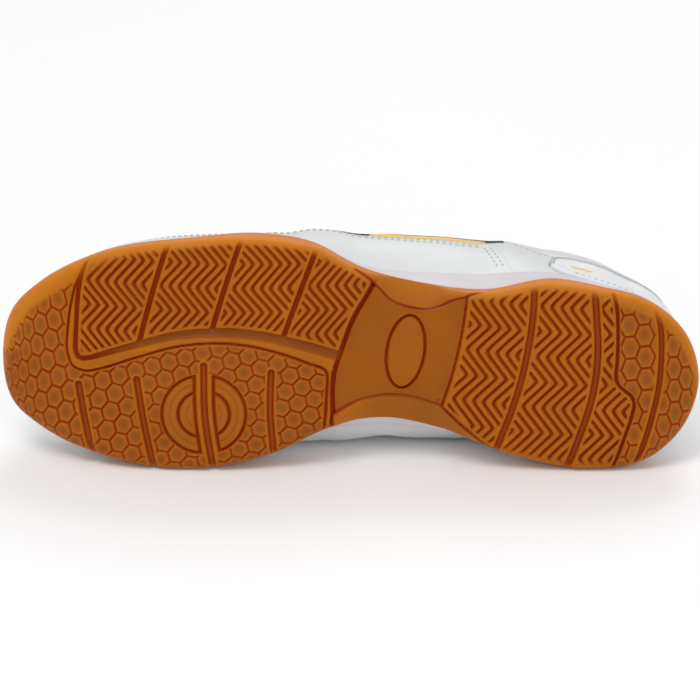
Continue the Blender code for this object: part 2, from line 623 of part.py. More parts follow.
def lace_run(name, start, end, finish, layer):
    """One flat run of lace between two eyelets, over the throat."""
    x_gap = end[0] - start[0]
    raised = LACE_LIFT + layer * LACE_STEP
    stops = [(start[0], start[1], EYELET_INSET), (start[0] + 0.22 * x_gap, start[1], 0.0),
             (end[0] - 0.22 * x_gap, end[1], 0.0), (end[0], end[1], EYELET_INSET)]
    found = [throat_place(*stop) for stop in stops]
    spots = [place + raised * normal for place, normal in found]
    normals = [normal for _, normal in found]
    middle = 0.5 * (spots[1] + spots[2]) + np.array([0.0, 0.0, LACE_ARCH + layer * LACE_STEP])
    first, last = ((b - a) / np.linalg.norm(b - a) for a, b in ((spots[1], spots[0]), (spots[2], spots[3])))
    path = np.array([spots[0] + LACE_END * first, spots[1], middle, spots[2], spots[3] + LACE_END * last])
    up = np.array([normals[0], normals[1], normals[1] + normals[2], normals[2], normals[3]])
    up /= np.linalg.norm(up, axis=1)[:, None]
    run = np.gradient(path, axis=0)
    wide = np.cross(run, up)
    wide *= 0.5 * LACE_WIDTH / np.linalg.norm(wide, axis=1)[:, None]
    thick = up * LACE_THICKNESS
    grid = np.stack([path - wide, path + wide, path + wide + thick, path - wide + thick], 1)
    faces = [(i * 4 + j, i * 4 + (j + 1) % 4, i * 4 + 4 + (j + 1) % 4, i * 4 + 4 + j)
             for i in range(4) for j in range(4)]
    faces += [(3, 2, 1, 0), (16, 17, 18, 19)]
    return add_mesh(name, grid.reshape(-1, 3), faces, finish)


def build_lace(finish):
    """Crossed lace from the front bar to the top eyelets, joined where it crosses."""
    first = EYELET_STATIONS[0]
    lace = lace_run("lace", (first, -1.0), (first, 1.0), finish, 0)
    for index, (x, ahead) in enumerate(zip(EYELET_STATIONS[:-1], EYELET_STATIONS[1:])):
        for label, dy, layer in (("over", 1.0, 2), ("under", -1.0, 1)):
            run = helper(lace_run("run_%s_%d" % (label, index), (x, dy), (ahead, -dy), None, layer))
            boolean(lace, run, "UNION")
    return lace


def lay_down(pieces):
    """Turn the shoe on its inner side until the sole's edge and the upper both reach the floor."""
    bpy.context.view_layer.update()
    graph = bpy.context.evaluated_depsgraph_get()
    clouds = {}
    for piece in pieces:
        ready = piece.evaluated_get(graph)
        flat = np.empty(len(ready.data.vertices) * 3, np.float32)
        ready.data.vertices.foreach_get("co", flat)
        clouds[piece.name] = flat.reshape(-1, 3).astype(float)
    sole = np.concatenate([clouds["outsole"], clouds["midsole"]])
    rest = np.concatenate([v for k, v in clouds.items() if k not in ("outsole", "midsole")])

    def reach(cloud, lean):
        return (cloud[:, 1] * math.cos(lean) + cloud[:, 2] * math.sin(lean)).max()

    low, high = 0.0, math.radians(40.0)
    for _ in range(60):
        lean = 0.5 * (low + high)
        if reach(sole, lean) > reach(rest, lean):
            low = lean
        else:
            high = lean
    turn = -(math.pi / 2 + lean)
    both = np.concatenate([sole, rest])
    depth = both[:, 1] * math.cos(turn) - both[:, 2] * math.sin(turn)
    shoe = bpy.data.objects.new("shoe", None)
    bpy.context.collection.objects.link(shoe)
    shoe.rotation_euler = (turn, 0.0, 0.0)
    shoe.location = (-0.5 * (both[:, 0].min() + both[:, 0].max()), -0.5 * (depth.min() + depth.max()),
                     reach(both, lean))
    for thing in list(bpy.data.objects):
        if thing is not shoe:
            thing.parent = shoe
    print("lean", round(math.degrees(lean), 3), "shift", [round(v, 6) for v in shoe.location])


def main():
    """Build every piece of the shoe and lay it down."""
    for old in list(bpy.data.objects):
        bpy.data.objects.remove(old, do_unlink=True)
    leather = material("white_leather", (0.8, 0.8, 0.78), 0.5)
    trim = material("white_trim", (0.74, 0.75, 0.76), 0.45)
    outsole = build_outsole(material("gum_rubber", (0.42, 0.18, 0.035), 0.42))
    midsole = build_midsole(material("white_foam", (0.78, 0.77, 0.82), 0.6))
    insole = build_insole(material("grey_insole", (0.32, 0.33, 0.35), 0.9))
    upper = build_upper(leather)
    eyestay = build_eyestay(trim)
    counter = build_heel_counter(trim)
    tongue = build_tongue(material("white_textile", (0.7, 0.71, 0.72), 0.85))
    cut_eyelets([upper, eyestay])
    lace = build_lace(material("white_lace", (0.8, 0.8, 0.8), 0.9))
    lay_down([outsole, midsole, insole, upper, eyestay, counter, tongue, lace])


main()
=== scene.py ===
"""Left indoor court shoe lying on its inner side, with its tread towards the camera.

Shapes are worked out in the shoe's own frame, in millimetres: x runs from toe to heel, y towards the
inner side of the foot and z up from the tread.  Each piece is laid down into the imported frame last.
"""
from __future__ import annotations

import logging
import math
from dataclasses import dataclass
from enum import Enum
from typing import NamedTuple, Sequence, Union

import bpy
import numpy as np
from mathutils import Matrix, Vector
from numpy.typing import NDArray


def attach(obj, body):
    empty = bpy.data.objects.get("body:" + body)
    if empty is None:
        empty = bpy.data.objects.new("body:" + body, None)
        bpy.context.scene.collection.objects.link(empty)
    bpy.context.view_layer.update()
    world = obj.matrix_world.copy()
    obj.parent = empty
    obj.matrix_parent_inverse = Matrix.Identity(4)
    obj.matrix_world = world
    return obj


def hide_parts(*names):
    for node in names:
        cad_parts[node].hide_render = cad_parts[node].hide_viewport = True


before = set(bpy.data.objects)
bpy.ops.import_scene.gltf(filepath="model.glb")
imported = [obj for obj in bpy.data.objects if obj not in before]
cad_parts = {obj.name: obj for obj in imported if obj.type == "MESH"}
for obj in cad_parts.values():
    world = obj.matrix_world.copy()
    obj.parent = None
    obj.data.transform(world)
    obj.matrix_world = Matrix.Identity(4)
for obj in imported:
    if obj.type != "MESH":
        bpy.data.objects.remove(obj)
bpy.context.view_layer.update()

Array = NDArray[np.float64]
Faces = NDArray[np.int64]
Mask = NDArray[np.bool_]
Value = Union[Array, float]
Colour = tuple[float, float, float]
Plan = Sequence[tuple[float, float]]
Socket = bpy.types.NodeSocket
Feed = Union[Socket, float, Sequence[float]]
Piece = bpy.types.Object

LOG = logging.getLogger("court_shoe")
MM = 0.001
FAR = 9.0
TINY = 1e-9
TOE_CENTRE = (-97.0, 4.0)
HEEL_CENTRE = (103.0, 12.5)
SPINE = HEEL_CENTRE[0] - TOE_CENTRE[0]
FEATHER_LEDGE = 1.0
UPPER_SEAT = 0.7


class Side(Enum):
    """The two long sides of the shoe, by the sign of y."""

    LATERAL = -1.0
    MEDIAL = 1.0


class SoleSection(NamedTuple):
    """Heights and edge widths of the sole at one station."""

    x: float
    gum_lateral: float
    gum_medial: float
    edge_lateral: float
    edge_medial: float
    ledge_lateral: float
    ledge_medial: float
    top: float


class LastSection(NamedTuple):
    """Widest line, ridge and roundness of the last at one station."""

    x: float
    bulge_lateral: float
    bulge_medial: float
    high_lateral: float
    high_medial: float
    ridge: float
    power: float


class Station(NamedTuple):
    """One size at one place along the shoe."""

    x: float
    size: float


class Line(NamedTuple):
    """Section of a moulded line: its width, its depth and its soft shoulder."""

    width: float
    depth: float
    soft: float


class Groove(NamedTuple):
    """A moulded groove: its width at both ends, its depth, its plan path and its soft shoulder."""

    start_width: float
    end_width: float
    depth: float
    path: Plan
    soft: float = 0.35


class SlotSizes(NamedTuple):
    """Zigzag slots of one end of the sole: spacing, half height and period."""

    pitch: float
    swing: float
    period: float


class Chevrons(NamedTuple):
    """Zigzag slots of one tread block: one tip, the lean of the lines and the drift of their tips."""

    tip_x: float
    tip_y: float
    lean: float
    drift: float


class Comb(NamedTuple):
    """A honeycomb: distance between cells, turn, squash along the shoe and the middle of one cell."""

    size: float
    turn_deg: float
    squash: float
    x: float
    y: float


class Crease(NamedTuple):
    """A soft trough in the upper: its place, slant, reach up from the sole, depth and width."""

    side: Side
    x: float
    slant: float
    low: float
    high: float
    depth: float
    width: float

    def lift(self, w: Array, arcs: Array, x: Array) -> Array:
        """Height of the crease: a bell sunk along a slanted line, with a lower ridge on either side of it.

        Args:
            w: Places round the shoe.
            arcs: Lengths up from the sole, one row a place.
            x: Places along the shoe of the same points.

        Returns:
            Heights in millimetres.
        """
        across = x - self.x - self.slant * (arcs - 0.5 * (self.low + self.high))
        across = across / max(abs(self.slant), 1.0)
        fade = 9.0
        reach = ease(self.low, self.low + fade, arcs) * (1 - ease(self.high - fade, self.high, arcs))
        ridges = sum(bell(across + way * 2 * self.width, self.width) for way in (-1, 1))
        here = np.where(w < 1.5, -1.0, 1.0)[:, None] == self.side.value
        return np.where(here, reach * self.depth * (0.4 * ridges - bell(across, self.width)), 0.0)


class Rest(NamedTuple):
    """A spot where the floor presses the inner side in: its place, height, reach both ways and depth."""

    x: float
    arc: float
    along: float
    up: float
    depth: float

    def lift(self, w: Array, arcs: Array, x: Array) -> Array:
        """Height of the spot, as a sunk bell over the inner side alone."""
        inner = ((w > 1.5) & (w < 3.5))[:, None]
        return -self.depth * inner * bell(x - self.x, self.along) * bell(arcs - self.arc, self.up)


SOLE_PLAN: Plan = (
    (-147.0, 7.0), (-142.6, 27.5), (-130.0, 38.2), (-105.0, 48.0), (-67.0, 52.8), (-34.0, 46.8),
    (-8.0, 35.2), (14.0, 31.5), (40.0, 36.6), (70.0, 47.2), (101.0, 52.8), (126.0, 48.4),
    (140.0, 35.6), (147.0, 14.0), (140.8, -6.8), (126.0, -19.4), (105.0, -25.3), (86.0, -28.2),
    (56.0, -24.2), (28.0, -27.6), (4.0, -34.1), (-16.0, -44.2), (-38.0, -47.6), (-67.0, -46.4),
    (-105.0, -39.6), (-130.0, -26.2), (-142.6, -13.0),
)

SOLE_SECTIONS = tuple(SoleSection(*row) for row in (
    (-147.0, 9.0, 9.0, 9.0, 9.0, -4.5, -4.5, 27.0),
    (-120.0, 10.5, 10.5, 7.0, 7.0, -4.4, -3.8, 22.0),
    (-90.0, 11.5, 11.5, 5.0, 5.0, -4.4, -3.4, 18.5),
    (-60.0, 12.0, 12.5, 4.5, 5.0, -4.2, -3.2, 17.5),
    (-36.0, 15.0, 12.5, 4.5, 5.0, -4.0, -1.0, 18.2),
    (-10.0, 13.5, 12.0, 4.5, 6.0, -2.6, 4.0, 19.5),
    (8.0, 11.5, 11.2, 4.0, 10.9, -1.5, 7.0, 20.5),
    (20.0, 11.0, 11.0, 9.0, 12.3, 0.0, 7.5, 21.3),
    (32.0, 11.0, 11.0, 9.2, 11.9, 1.5, 6.8, 22.3),
    (46.0, 11.0, 11.0, 3.5, 6.5, 3.0, 4.5, 23.5),
    (58.0, 11.2, 11.2, 4.0, 4.5, 3.0, 2.0, 24.3),
    (86.0, 14.0, 12.5, 4.5, 5.0, -1.2, -4.0, 25.8),
    (110.0, 11.8, 12.5, 5.0, 5.0, -3.2, -6.4, 26.3),
    (130.0, 11.0, 11.0, 5.5, 5.5, -5.2, -6.4, 26.6),
    (147.0, 9.0, 9.0, 6.0, 6.0, -5.8, -5.8, 27.0),
))

LAST_SECTIONS = tuple(LastSection(*row) for row in (
    (-147.0, -5.2, -5.2, 35.0, 35.0, 52.0, 2.3),
    (-110.0, -5.4, -4.4, 32.0, 32.0, 52.0, 2.3),
    (-97.0, -5.6, -4.0, 31.0, 31.0, 53.5, 2.3),
    (-60.0, -5.6, -3.2, 30.0, 29.0, 62.0, 2.15),
    (-30.0, -5.6, 2.5, 33.0, 30.0, 72.0, 2.0),
    (-15.0, -1.8, 9.5, 36.0, 30.5, 78.0, 1.97),
    (0.0, 3.4, 14.0, 39.0, 31.0, 84.0, 1.95),
    (21.0, 8.0, 14.4, 44.0, 33.0, 93.5, 1.95),
    (42.0, 9.4, 11.0, 47.0, 36.0, 104.0, 2.0),
    (63.0, 8.0, 2.0, 48.0, 39.0, 109.0, 2.0),
    (85.0, -0.6, -5.5, 47.0, 41.0, 111.0, 2.0),
    (105.0, -2.8, -8.2, 45.0, 42.0, 112.0, 2.0),
    (125.0, -6.6, -8.0, 43.0, 42.0, 112.0, 2.0),
    (147.0, -6.6, -6.6, 42.0, 42.0, 112.0, 2.0),
))


def stations(*rows: tuple[float, float]) -> tuple[Station, ...]:
    """A table of one size along the shoe."""
    return tuple(Station(*row) for row in rows)


THROAT = stations((-38.0, 0.0), (-33.0, 8.5), (-24.0, 12.0), (-5.0, 13.2), (20.0, 16.0), (50.0, 20.0),
                  (60.0, 22.0))
TOPLINE = stations((-100.0, 140.0), (30.0, 130.0), (44.0, 101.0), (54.0, 92.0), (66.0, 82.0), (80.0, 76.0),
                   (96.0, 75.0), (112.0, 78.0), (128.0, 83.0), (140.0, 88.0), (147.0, 89.0))
TONGUE = stations((-46.0, 15.0), (-30.0, 19.0), (0.0, 23.0), (30.0, 25.0), (48.0, 24.5), (62.0, 23.0),
                  (68.0, 18.0))
EYELETS = (-22.0, -9.6, 2.8, 15.2, 27.6, 40.0)

WAIST_FRONT: Plan = ((16.0, -46.0), (9.7, -28.3), (1.1, -12.6), (-3.6, 0.4), (-6.6, 10.2), (-7.3, 28.3),
                     (-8.0, 46.0))
WAIST_REAR: Plan = ((50.0, -40.0), (48.9, -22.0), (47.3, -9.2), (44.9, 3.3), (42.0, 14.3), (38.6, 24.8),
                    (46.0, 32.4), (60.0, 46.0))
OUTER_CREASE: Plan = (
    (2.6, -35.5), (7.0, -32.0), (11.2, -28.3), (16.5, -22.3), (22.6, -18.9), (29.9, -17.5), (37.3, -18.5),
    (43.3, -21.0), (49.4, -23.6), (55.0, -26.0), (60.0, -28.5))
INNER_CREASE: Plan = (
    (-6.9, 28.9), (1.1, 24.3), (8.5, 21.8), (16.5, 20.8), (24.6, 21.4), (31.9, 23.4), (38.0, 25.6),
    (46.0, 32.6), (54.6, 40.7), (60.0, 46.0))

CHANNEL = Groove(2.6, 6.0, 1.7, (
    (-110.8, -36.2), (-112.5, -29.4), (-113.8, -19.6), (-114.4, -10.7), (-114.9, -1.8), (-114.9, 1.7),
    (-113.9, 3.8), (-110.7, 3.7), (-104.7, 1.8), (-96.1, -1.0), (-87.5, -3.7), (-74.7, -7.3),
    (-66.1, -8.6), (-57.5, -9.1), (-48.9, -9.1), (-40.4, -8.2), (-31.8, -6.7), (-23.2, -4.6),
    (-14.7, -2.4), (-4.8, 0.7)))

BLOCK_SPLITS = tuple(Groove(1.8, 1.8, 1.7, path) for path in (
    ((-73.6, -54.0), (-82.3, -26.5), (-88.7, -2.8)),
    ((-43.3, -54.0), (-52.5, -26.5), (-57.8, -9.0)),
    ((-10.0, -54.0), (-21.4, -23.5), (-28.0, -5.4)),
))

PIVOT_SLOT = Groove(2.5, 2.5, 1.7, ((-61.5, 7.0), (-61.3, 27.0), (-57.5, 55.0)), 0.4)
MEDIAL_SLOTS = (
    Groove(2.5, 2.5, 1.7, ((-114.7, 16.5), (-112.8, 27.8), (-109.0, 48.0)), 0.4),
    Groove(2.5, 2.5, 1.7, ((-89.9, 13.5), (-87.8, 27.8), (-82.5, 55.0)), 0.4),
    PIVOT_SLOT,
    Groove(2.5, 2.5, 1.7, ((-33.2, 10.0), (-33.6, 27.0), (-31.8, 50.0)), 0.4),
)

HEEL_GROOVES = (
    Groove(2.4, 2.4, 1.7, ((77.5, -33.0), (76.7, -13.3), (75.0, -0.9), (72.0, 13.7), (68.3, 26.1),
                           (62.0, 43.0), (59.5, 50.0)), 0.45),
    Groove(2.5, 2.5, 1.7, ((102.3, -32.0), (103.5, -13.5), (104.2, -0.9), (103.2, 13.7), (100.8, 25.5),
                           (97.0, 37.4), (90.0, 56.0)), 0.45),
    Groove(1.9, 1.9, 1.7, ((128.0, -24.0), (130.7, -7.1), (130.9, 3.3), (129.8, 17.2), (127.7, 27.6),
                           (124.7, 38.7), (119.0, 55.0)), 0.45),
)

TOE_SLIT = Groove(0.9, 1.2, 1.3, (
    (-107.5, -48.0), (-110.5, -38.7), (-115.9, -25.0), (-118.9, -9.2), (-119.3, 3.4), (-117.2, 8.6),
    (-112.1, 10.5), (-105.0, 9.1), (-90.7, 4.2), (-72.2, -1.2), (-58.0, -2.6), (-44.1, -1.7),
    (-29.8, 1.7), (-17.6, 6.1), (-9.9, 9.8), (-9.5, 13.0), (-9.7, 17.4), (-10.5, 30.4), (-11.6, 46.0)), 0.3)

HEEL_SLIT = Groove(1.2, 1.2, 1.6, (
    (109.0, -34.0), (110.7, -25.5), (112.0, -17.5), (112.6, -3.6), (112.3, 6.0), (112.0, 12.6),
    (112.4, 14.4), (116.0, 18.2), (118.7, 20.6), (119.7, 23.4), (118.7, 29.0), (115.7, 38.7),
    (111.7, 50.4), (109.5, 58.0)), 0.3)

FOREFOOT_SLOTS = SlotSizes(3.85, 4.6, 20.9)
HEEL_SLOTS = SlotSizes(4.2, 5.0, 22.1)

FOREFOOT_CHEVRONS = (
    Chevrons(-98.1, -18.0, 0.0, 0.06),
    Chevrons(-67.6, -16.5, -0.02, 0.06),
    Chevrons(-40.6, -16.0, 0.0, -0.01),
    Chevrons(-5.7, -17.4, -0.03, -0.03),
)

HEEL_CHEVRONS = (
    Chevrons(61.5, 12.5, -0.065, 0.13),
    Chevrons(90.9, 15.1, -0.075, 0.08),
    Chevrons(106.4, 37.5, -0.07, 0.09),
)

FOREFOOT_COMB = Comb(7.3, 44.5, 1.0, -44.6, 10.1)
HEEL_COMB = Comb(9.5, 26.0, 0.76, 124.2, 3.3)
REAR_COMB = Comb(9.8, 26.0, 0.6, 136.2, 8.2)
COMB_FAN = stations((-147.0, 0.75), (-127.0, 0.765), (-100.0, 0.89), (-40.0, 1.0), (0.0, 1.0))


def column(table: Sequence[NamedTuple], name: str) -> Array:
    """One named column of a table as an array."""
    return np.array([getattr(row, name) for row in table], float)


def hermite(a: Array, b: Array, leave: Array, arrive: Array, t: Array) -> Array:
    """Cubic from a to b that leaves and arrives with set slopes, at shares t of the way."""
    ends = a * (1 + 2 * t) * (1 - t) ** 2 + b * t * t * (3 - 2 * t)
    return ends + leave * t * (1 - t) ** 2 + arrive * t * t * (t - 1)


def smooth(table: Sequence[NamedTuple], name: str, x: Value) -> Array:
    """Value of a table's column at x, by a cubic through its rows that never overshoots them.

    Args:
        table: Rows with an x column, in rising order.
        name: The column that is wanted.
        x: Places along the shoe.

    Returns:
        The column's value at each place.
    """
    xs, ys = column(table, "x"), column(table, name)
    x = np.clip(np.asarray(x, float), xs[0], xs[-1])
    step = np.diff(xs)
    slope = np.diff(ys) / step
    product = slope[:-1] * slope[1:]
    total = np.where(product > 0, slope[:-1] + slope[1:], 1.0)
    inner = np.where(product > 0, 2.0 * product / total, 0.0)
    tangent = np.concatenate([slope[:1], inner, slope[-1:]])
    i = np.clip(np.searchsorted(xs, x, "right") - 1, 0, len(step) - 1)
    return hermite(ys[i], ys[i + 1], step[i] * tangent[i], step[i] * tangent[i + 1], (x - xs[i]) / step[i])


def ease(low: float, high: float, value: Array) -> Array:
    """Cubic step from 0 at low to 1 at high."""
    t = np.clip((np.asarray(value, float) - low) / (high - low), 0.0, 1.0)
    return t * t * (3.0 - 2.0 * t)


def bell(offset: Array, reach: float) -> Array:
    """Bell curve of an offset: 1 in its middle, a third at its reach."""
    return np.exp(-(offset / reach) ** 2)


def dome(share: Array) -> Array:
    """Quarter circle: 0 at a share of 0, rising steeply to 1 at a share of 1 and beyond."""
    return np.sqrt(1 - (1 - np.clip(share, 0, 1)) ** 2)


def unit(vectors: Array) -> Array:
    """Vectors scaled to a length of one."""
    return vectors / np.maximum(np.linalg.norm(vectors, axis=-1, keepdims=True), TINY)


def run_along(path: Array) -> Array:
    """Length from the start of a path to each of its points."""
    return np.concatenate([[0.0], np.cumsum(np.linalg.norm(np.diff(path, axis=0), axis=1))])


def closed_curve(points: Plan, per_span: int = 30) -> Array:
    """Smooth closed curve through plan points, with tangents weighted by the chords beside them.

    Args:
        points: Plan points once round.
        per_span: Steps between two points.

    Returns:
        The curve as rows of x and y.
    """
    p = np.array(points, float)
    ahead = np.roll(p, -1, 0)
    chord = np.linalg.norm(ahead - p, axis=1)[:, None]
    slope = (ahead - p) / chord
    back_chord, back_slope = np.roll(chord, 1, 0), np.roll(slope, 1, 0)
    tangent = (back_slope * chord + slope * back_chord) / (chord + back_chord)
    t = np.linspace(0, 1, per_span, endpoint=False)[None, :, None]
    ends = (p, ahead, tangent * chord, np.roll(tangent, -1, 0) * chord)
    return hermite(*(values[:, None] for values in ends), t).reshape(-1, 2)


def open_curve(points: Union[Plan, Array], spacing: float = 1.5) -> Array:
    """Smooth open path through points of any dimension, at about even spacing.

    Args:
        points: The points that the path passes through.
        spacing: Distance between samples.

    Returns:
        The path, one row a sample.
    """
    p = np.array(points, float)
    at = run_along(p)
    slope = np.gradient(p, at, axis=0)
    s = np.linspace(0, at[-1], max(2, int(round(at[-1] / spacing)) + 1))
    i = np.clip(np.searchsorted(at, s, "right") - 1, 0, len(at) - 2)
    chord = np.diff(at)[i][:, None]
    t = (s - at[i])[:, None] / chord
    return hermite(p[i], p[i + 1], chord * slope[i], chord * slope[i + 1], t)


SOLE_CURVE = closed_curve(SOLE_PLAN)


def path_distance(x: Array, y: Array, path: Array, margin: float = 8.0) -> tuple[Array, Array]:
    """Distance of plan points from an open path, worked out segment by segment.

    Args:
        x: Plan places.
        y: Plan places.
        path: The path's points.
        margin: How far off the path's box a point is still measured.

    Returns:
        The distance, at most margin, and the share along the path of the nearest point.
    """
    low, high = path.min(0) - margin, path.max(0) + margin
    near = (x > low[0]) & (x < high[0]) & (y > low[1]) & (y < high[1])
    px, py = x[near], y[near]
    best, place = np.full(px.shape, margin), np.zeros(px.shape)
    step, start = np.diff(path, axis=0), run_along(path)
    for (ax, ay), (sx, sy), size, run in zip(path[:-1], step, np.diff(start), start):
        t = np.clip(((px - ax) * sx + (py - ay) * sy) / size ** 2, 0, 1)
        gap = np.hypot(px - ax - t * sx, py - ay - t * sy)
        closer = gap < best
        best = np.where(closer, gap, best)
        place = np.where(closer, run + t * size, place)
    distance, share = np.full(x.shape, margin), np.zeros(x.shape)
    distance[near], share[near] = best, place / start[-1]
    return distance, share


def inside(x: Array, y: Array, loop: Array) -> Mask:
    """Whether plan points lie inside a loop, by counting crossings of a line along x.

    Args:
        x: Plan places.
        y: Plan places.
        loop: Points once round the loop.

    Returns:
        True for each point inside.
    """
    found = np.zeros(x.shape, bool)
    for (ax, ay), (bx, by) in zip(loop, np.roll(loop, -1, 0)):
        if ay != by:
            found ^= ((ay > y) != (by > y)) & (x < (bx - ax) * (y - ay) / (by - ay) + ax)
    return found


def x_on(path: Plan, y: Array) -> Array:
    """Place along the shoe where a path that rises in y passes each y."""
    return np.interp(y, *np.array(path).T[::-1])


def trough(distance: Array, width: Value, soft: float) -> Array:
    """Depth share of a groove: 1 on its floor, 0 past its soft shoulders."""
    return 1.0 - ease(0.0, 1.0, (distance - width / 2 + soft) / (2 * soft))


def spine_y(x: Value) -> Array:
    """Side position of the shoe's middle line at x."""
    share = (np.asarray(x, float) - TOE_CENTRE[0]) / SPINE
    return TOE_CENTRE[1] + np.clip(share, 0, 1) * (HEEL_CENTRE[1] - TOE_CENTRE[1])


def tread_height(x: Array) -> Array:
    """Height of the tread: flat from the heel to the ball, then rising by a square to the toe."""
    spring, ball, reach = 13.0, -55.0, 92.0
    return spring * np.clip((ball - np.asarray(x, float)) / reach, 0, None) ** 2


class Columns:
    """Half-planes that stand on the shoe's middle line, one a row, with the sizes of the shoe in each."""

    def __init__(self, w: Array) -> None:
        """Stand the half-planes at places once round the shoe.

        Args:
            w: Places: 0 to 1 along the outer side from heel to toe, 1 to 2 round the toe, 2 to 3 back
                along the inner side and 3 to 4 round the heel.
        """
        w = np.mod(np.asarray(w, float), 4.0).reshape(-1, 1)
        part = np.minimum(w.astype(int), 3)
        share = w - part
        cases = [part == 0, part == 1, part == 2]
        self.cx = np.select(cases, [HEEL_CENTRE[0] - share * SPINE, 0 * share + TOE_CENTRE[0],
                                    TOE_CENTRE[0] + share * SPINE], HEEL_CENTRE[0])
        turn = np.select(cases, [0 * share - 90, 270 - 180 * share, 0 * share + 90], 90 - 180 * share)
        self.cy = spine_y(self.cx)
        self.dx, self.dy = np.cos(np.radians(turn)), np.sin(np.radians(turn))
        rel_x, rel_y = SOLE_CURVE[:, 0] - self.cx, SOLE_CURVE[:, 1] - self.cy
        side = self.dx * rel_y - self.dy * rel_x
        along = self.dx * rel_x + self.dy * rel_y
        side2, along2 = np.roll(side, -1, 1), np.roll(along, -1, 1)
        crosses = (side <= 0) != (side2 <= 0)
        t = side / np.where(crosses, side - side2, 1.0)
        self.reach = np.where(crosses, along + t * (along2 - along), -1.0).max(1, keepdims=True)
        self.x = self.cx + self.dx * self.reach
        self.lateral = self.dy < 0

    def of(self, table: Sequence[NamedTuple], name: str) -> Array:
        """A table's value on each column's own side of the foot."""
        return np.where(self.lateral, smooth(table, name + "_lateral", self.x),
                        smooth(table, name + "_medial", self.x))

    def x_at(self, radius: Array) -> Array:
        """Places along the shoe at distances from the middle line."""
        return self.cx + self.dx * radius

    def y_at(self, radius: Array) -> Array:
        """Places across the shoe at distances from the middle line."""
        return self.cy + self.dy * radius

    def feather(self) -> Array:
        """Distance from the middle line at which the upper meets the sole."""
        return self.reach + self.of(SOLE_SECTIONS, "ledge") - FEATHER_LEDGE

    def at(self, radius: Array, z: Array) -> Array:
        """Points at distances from the middle line and heights."""
        return np.stack([self.x_at(radius), self.y_at(radius), np.broadcast_to(z, radius.shape)], 2)


def ring_places(sides: int, toe: int, heel: int) -> Array:
    """Places once round the shoe, evenly spread over each side, the toe and the heel."""
    return np.concatenate([np.linspace(k, k + 1, n, endpoint=False)
                           for k, n in enumerate((sides, toe, sides, heel))])


def side_place(side: Side, x: Value) -> Array:
    """Place round the shoe of a station on one of its sides."""
    x = np.asarray(x, float)
    return (HEEL_CENTRE[0] - x) / SPINE if side is Side.LATERAL else 2 + (x - TOE_CENTRE[0]) / SPINE


@dataclass(frozen=True)
class LyingPose:
    """How the shoe lies: its lean past upright on edge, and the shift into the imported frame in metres."""

    lean_deg: float = 7.506707
    shift: tuple[float, float, float] = (-0.000032, -0.056392, 0.053569)

    def turn(self, vectors: Array) -> Array:
        """Turn directions of the shoe's frame by the lean.

        Args:
            vectors: Directions in the shoe's frame.

        Returns:
            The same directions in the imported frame.
        """
        c, s = math.cos(math.radians(self.lean_deg)), math.sin(math.radians(self.lean_deg))
        x, y, z = vectors[..., 0], vectors[..., 1], vectors[..., 2]
        return np.stack([x, -y * s + z * c, -y * c - z * s], -1)

    def lay(self, points: Array) -> Array:
        """Points of the shoe's frame, in millimetres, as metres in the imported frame."""
        return self.turn(points) * MM + np.array(self.shift)


POSE = LyingPose()


def grid_quads(across: int, along: int, closed: bool = False, tube: bool = False) -> Faces:
    """Quads of a grid that is numbered column by column.

    Args:
        across: Columns.
        along: Points in a column.
        closed: Join the last column to the first.
        tube: Join the end of each column to its start.

    Returns:
        Four point numbers a row.
    """
    i = np.arange(across if closed else across - 1)[:, None]
    j = np.arange(along if tube else along - 1)[None]
    ahead, up = (i + 1) % across, (j + 1) % along
    return np.stack([i * along + j, ahead * along + j, ahead * along + up, i * along + up], 2).reshape(-1, 4)


def weld(points: Array, quads: Faces) -> tuple[Faces, Faces, Faces]:
    """Join points that fall together and drop the sides of quads that collapse.

    Args:
        points: Vertices in millimetres.
        quads: Faces on them.

    Returns:
        The vertices that stay, the whole quads and the triangles left of collapsed ones.
    """
    _, first, inverse = np.unique(np.round(points, 4), axis=0, return_index=True, return_inverse=True)
    faces = inverse.reshape(-1)[quads]
    same = faces == np.roll(faces, -1, 1)
    once = same.sum(1) == 1
    return first, faces[~same.any(1)], faces[once][~same[once]].reshape(-1, 3)


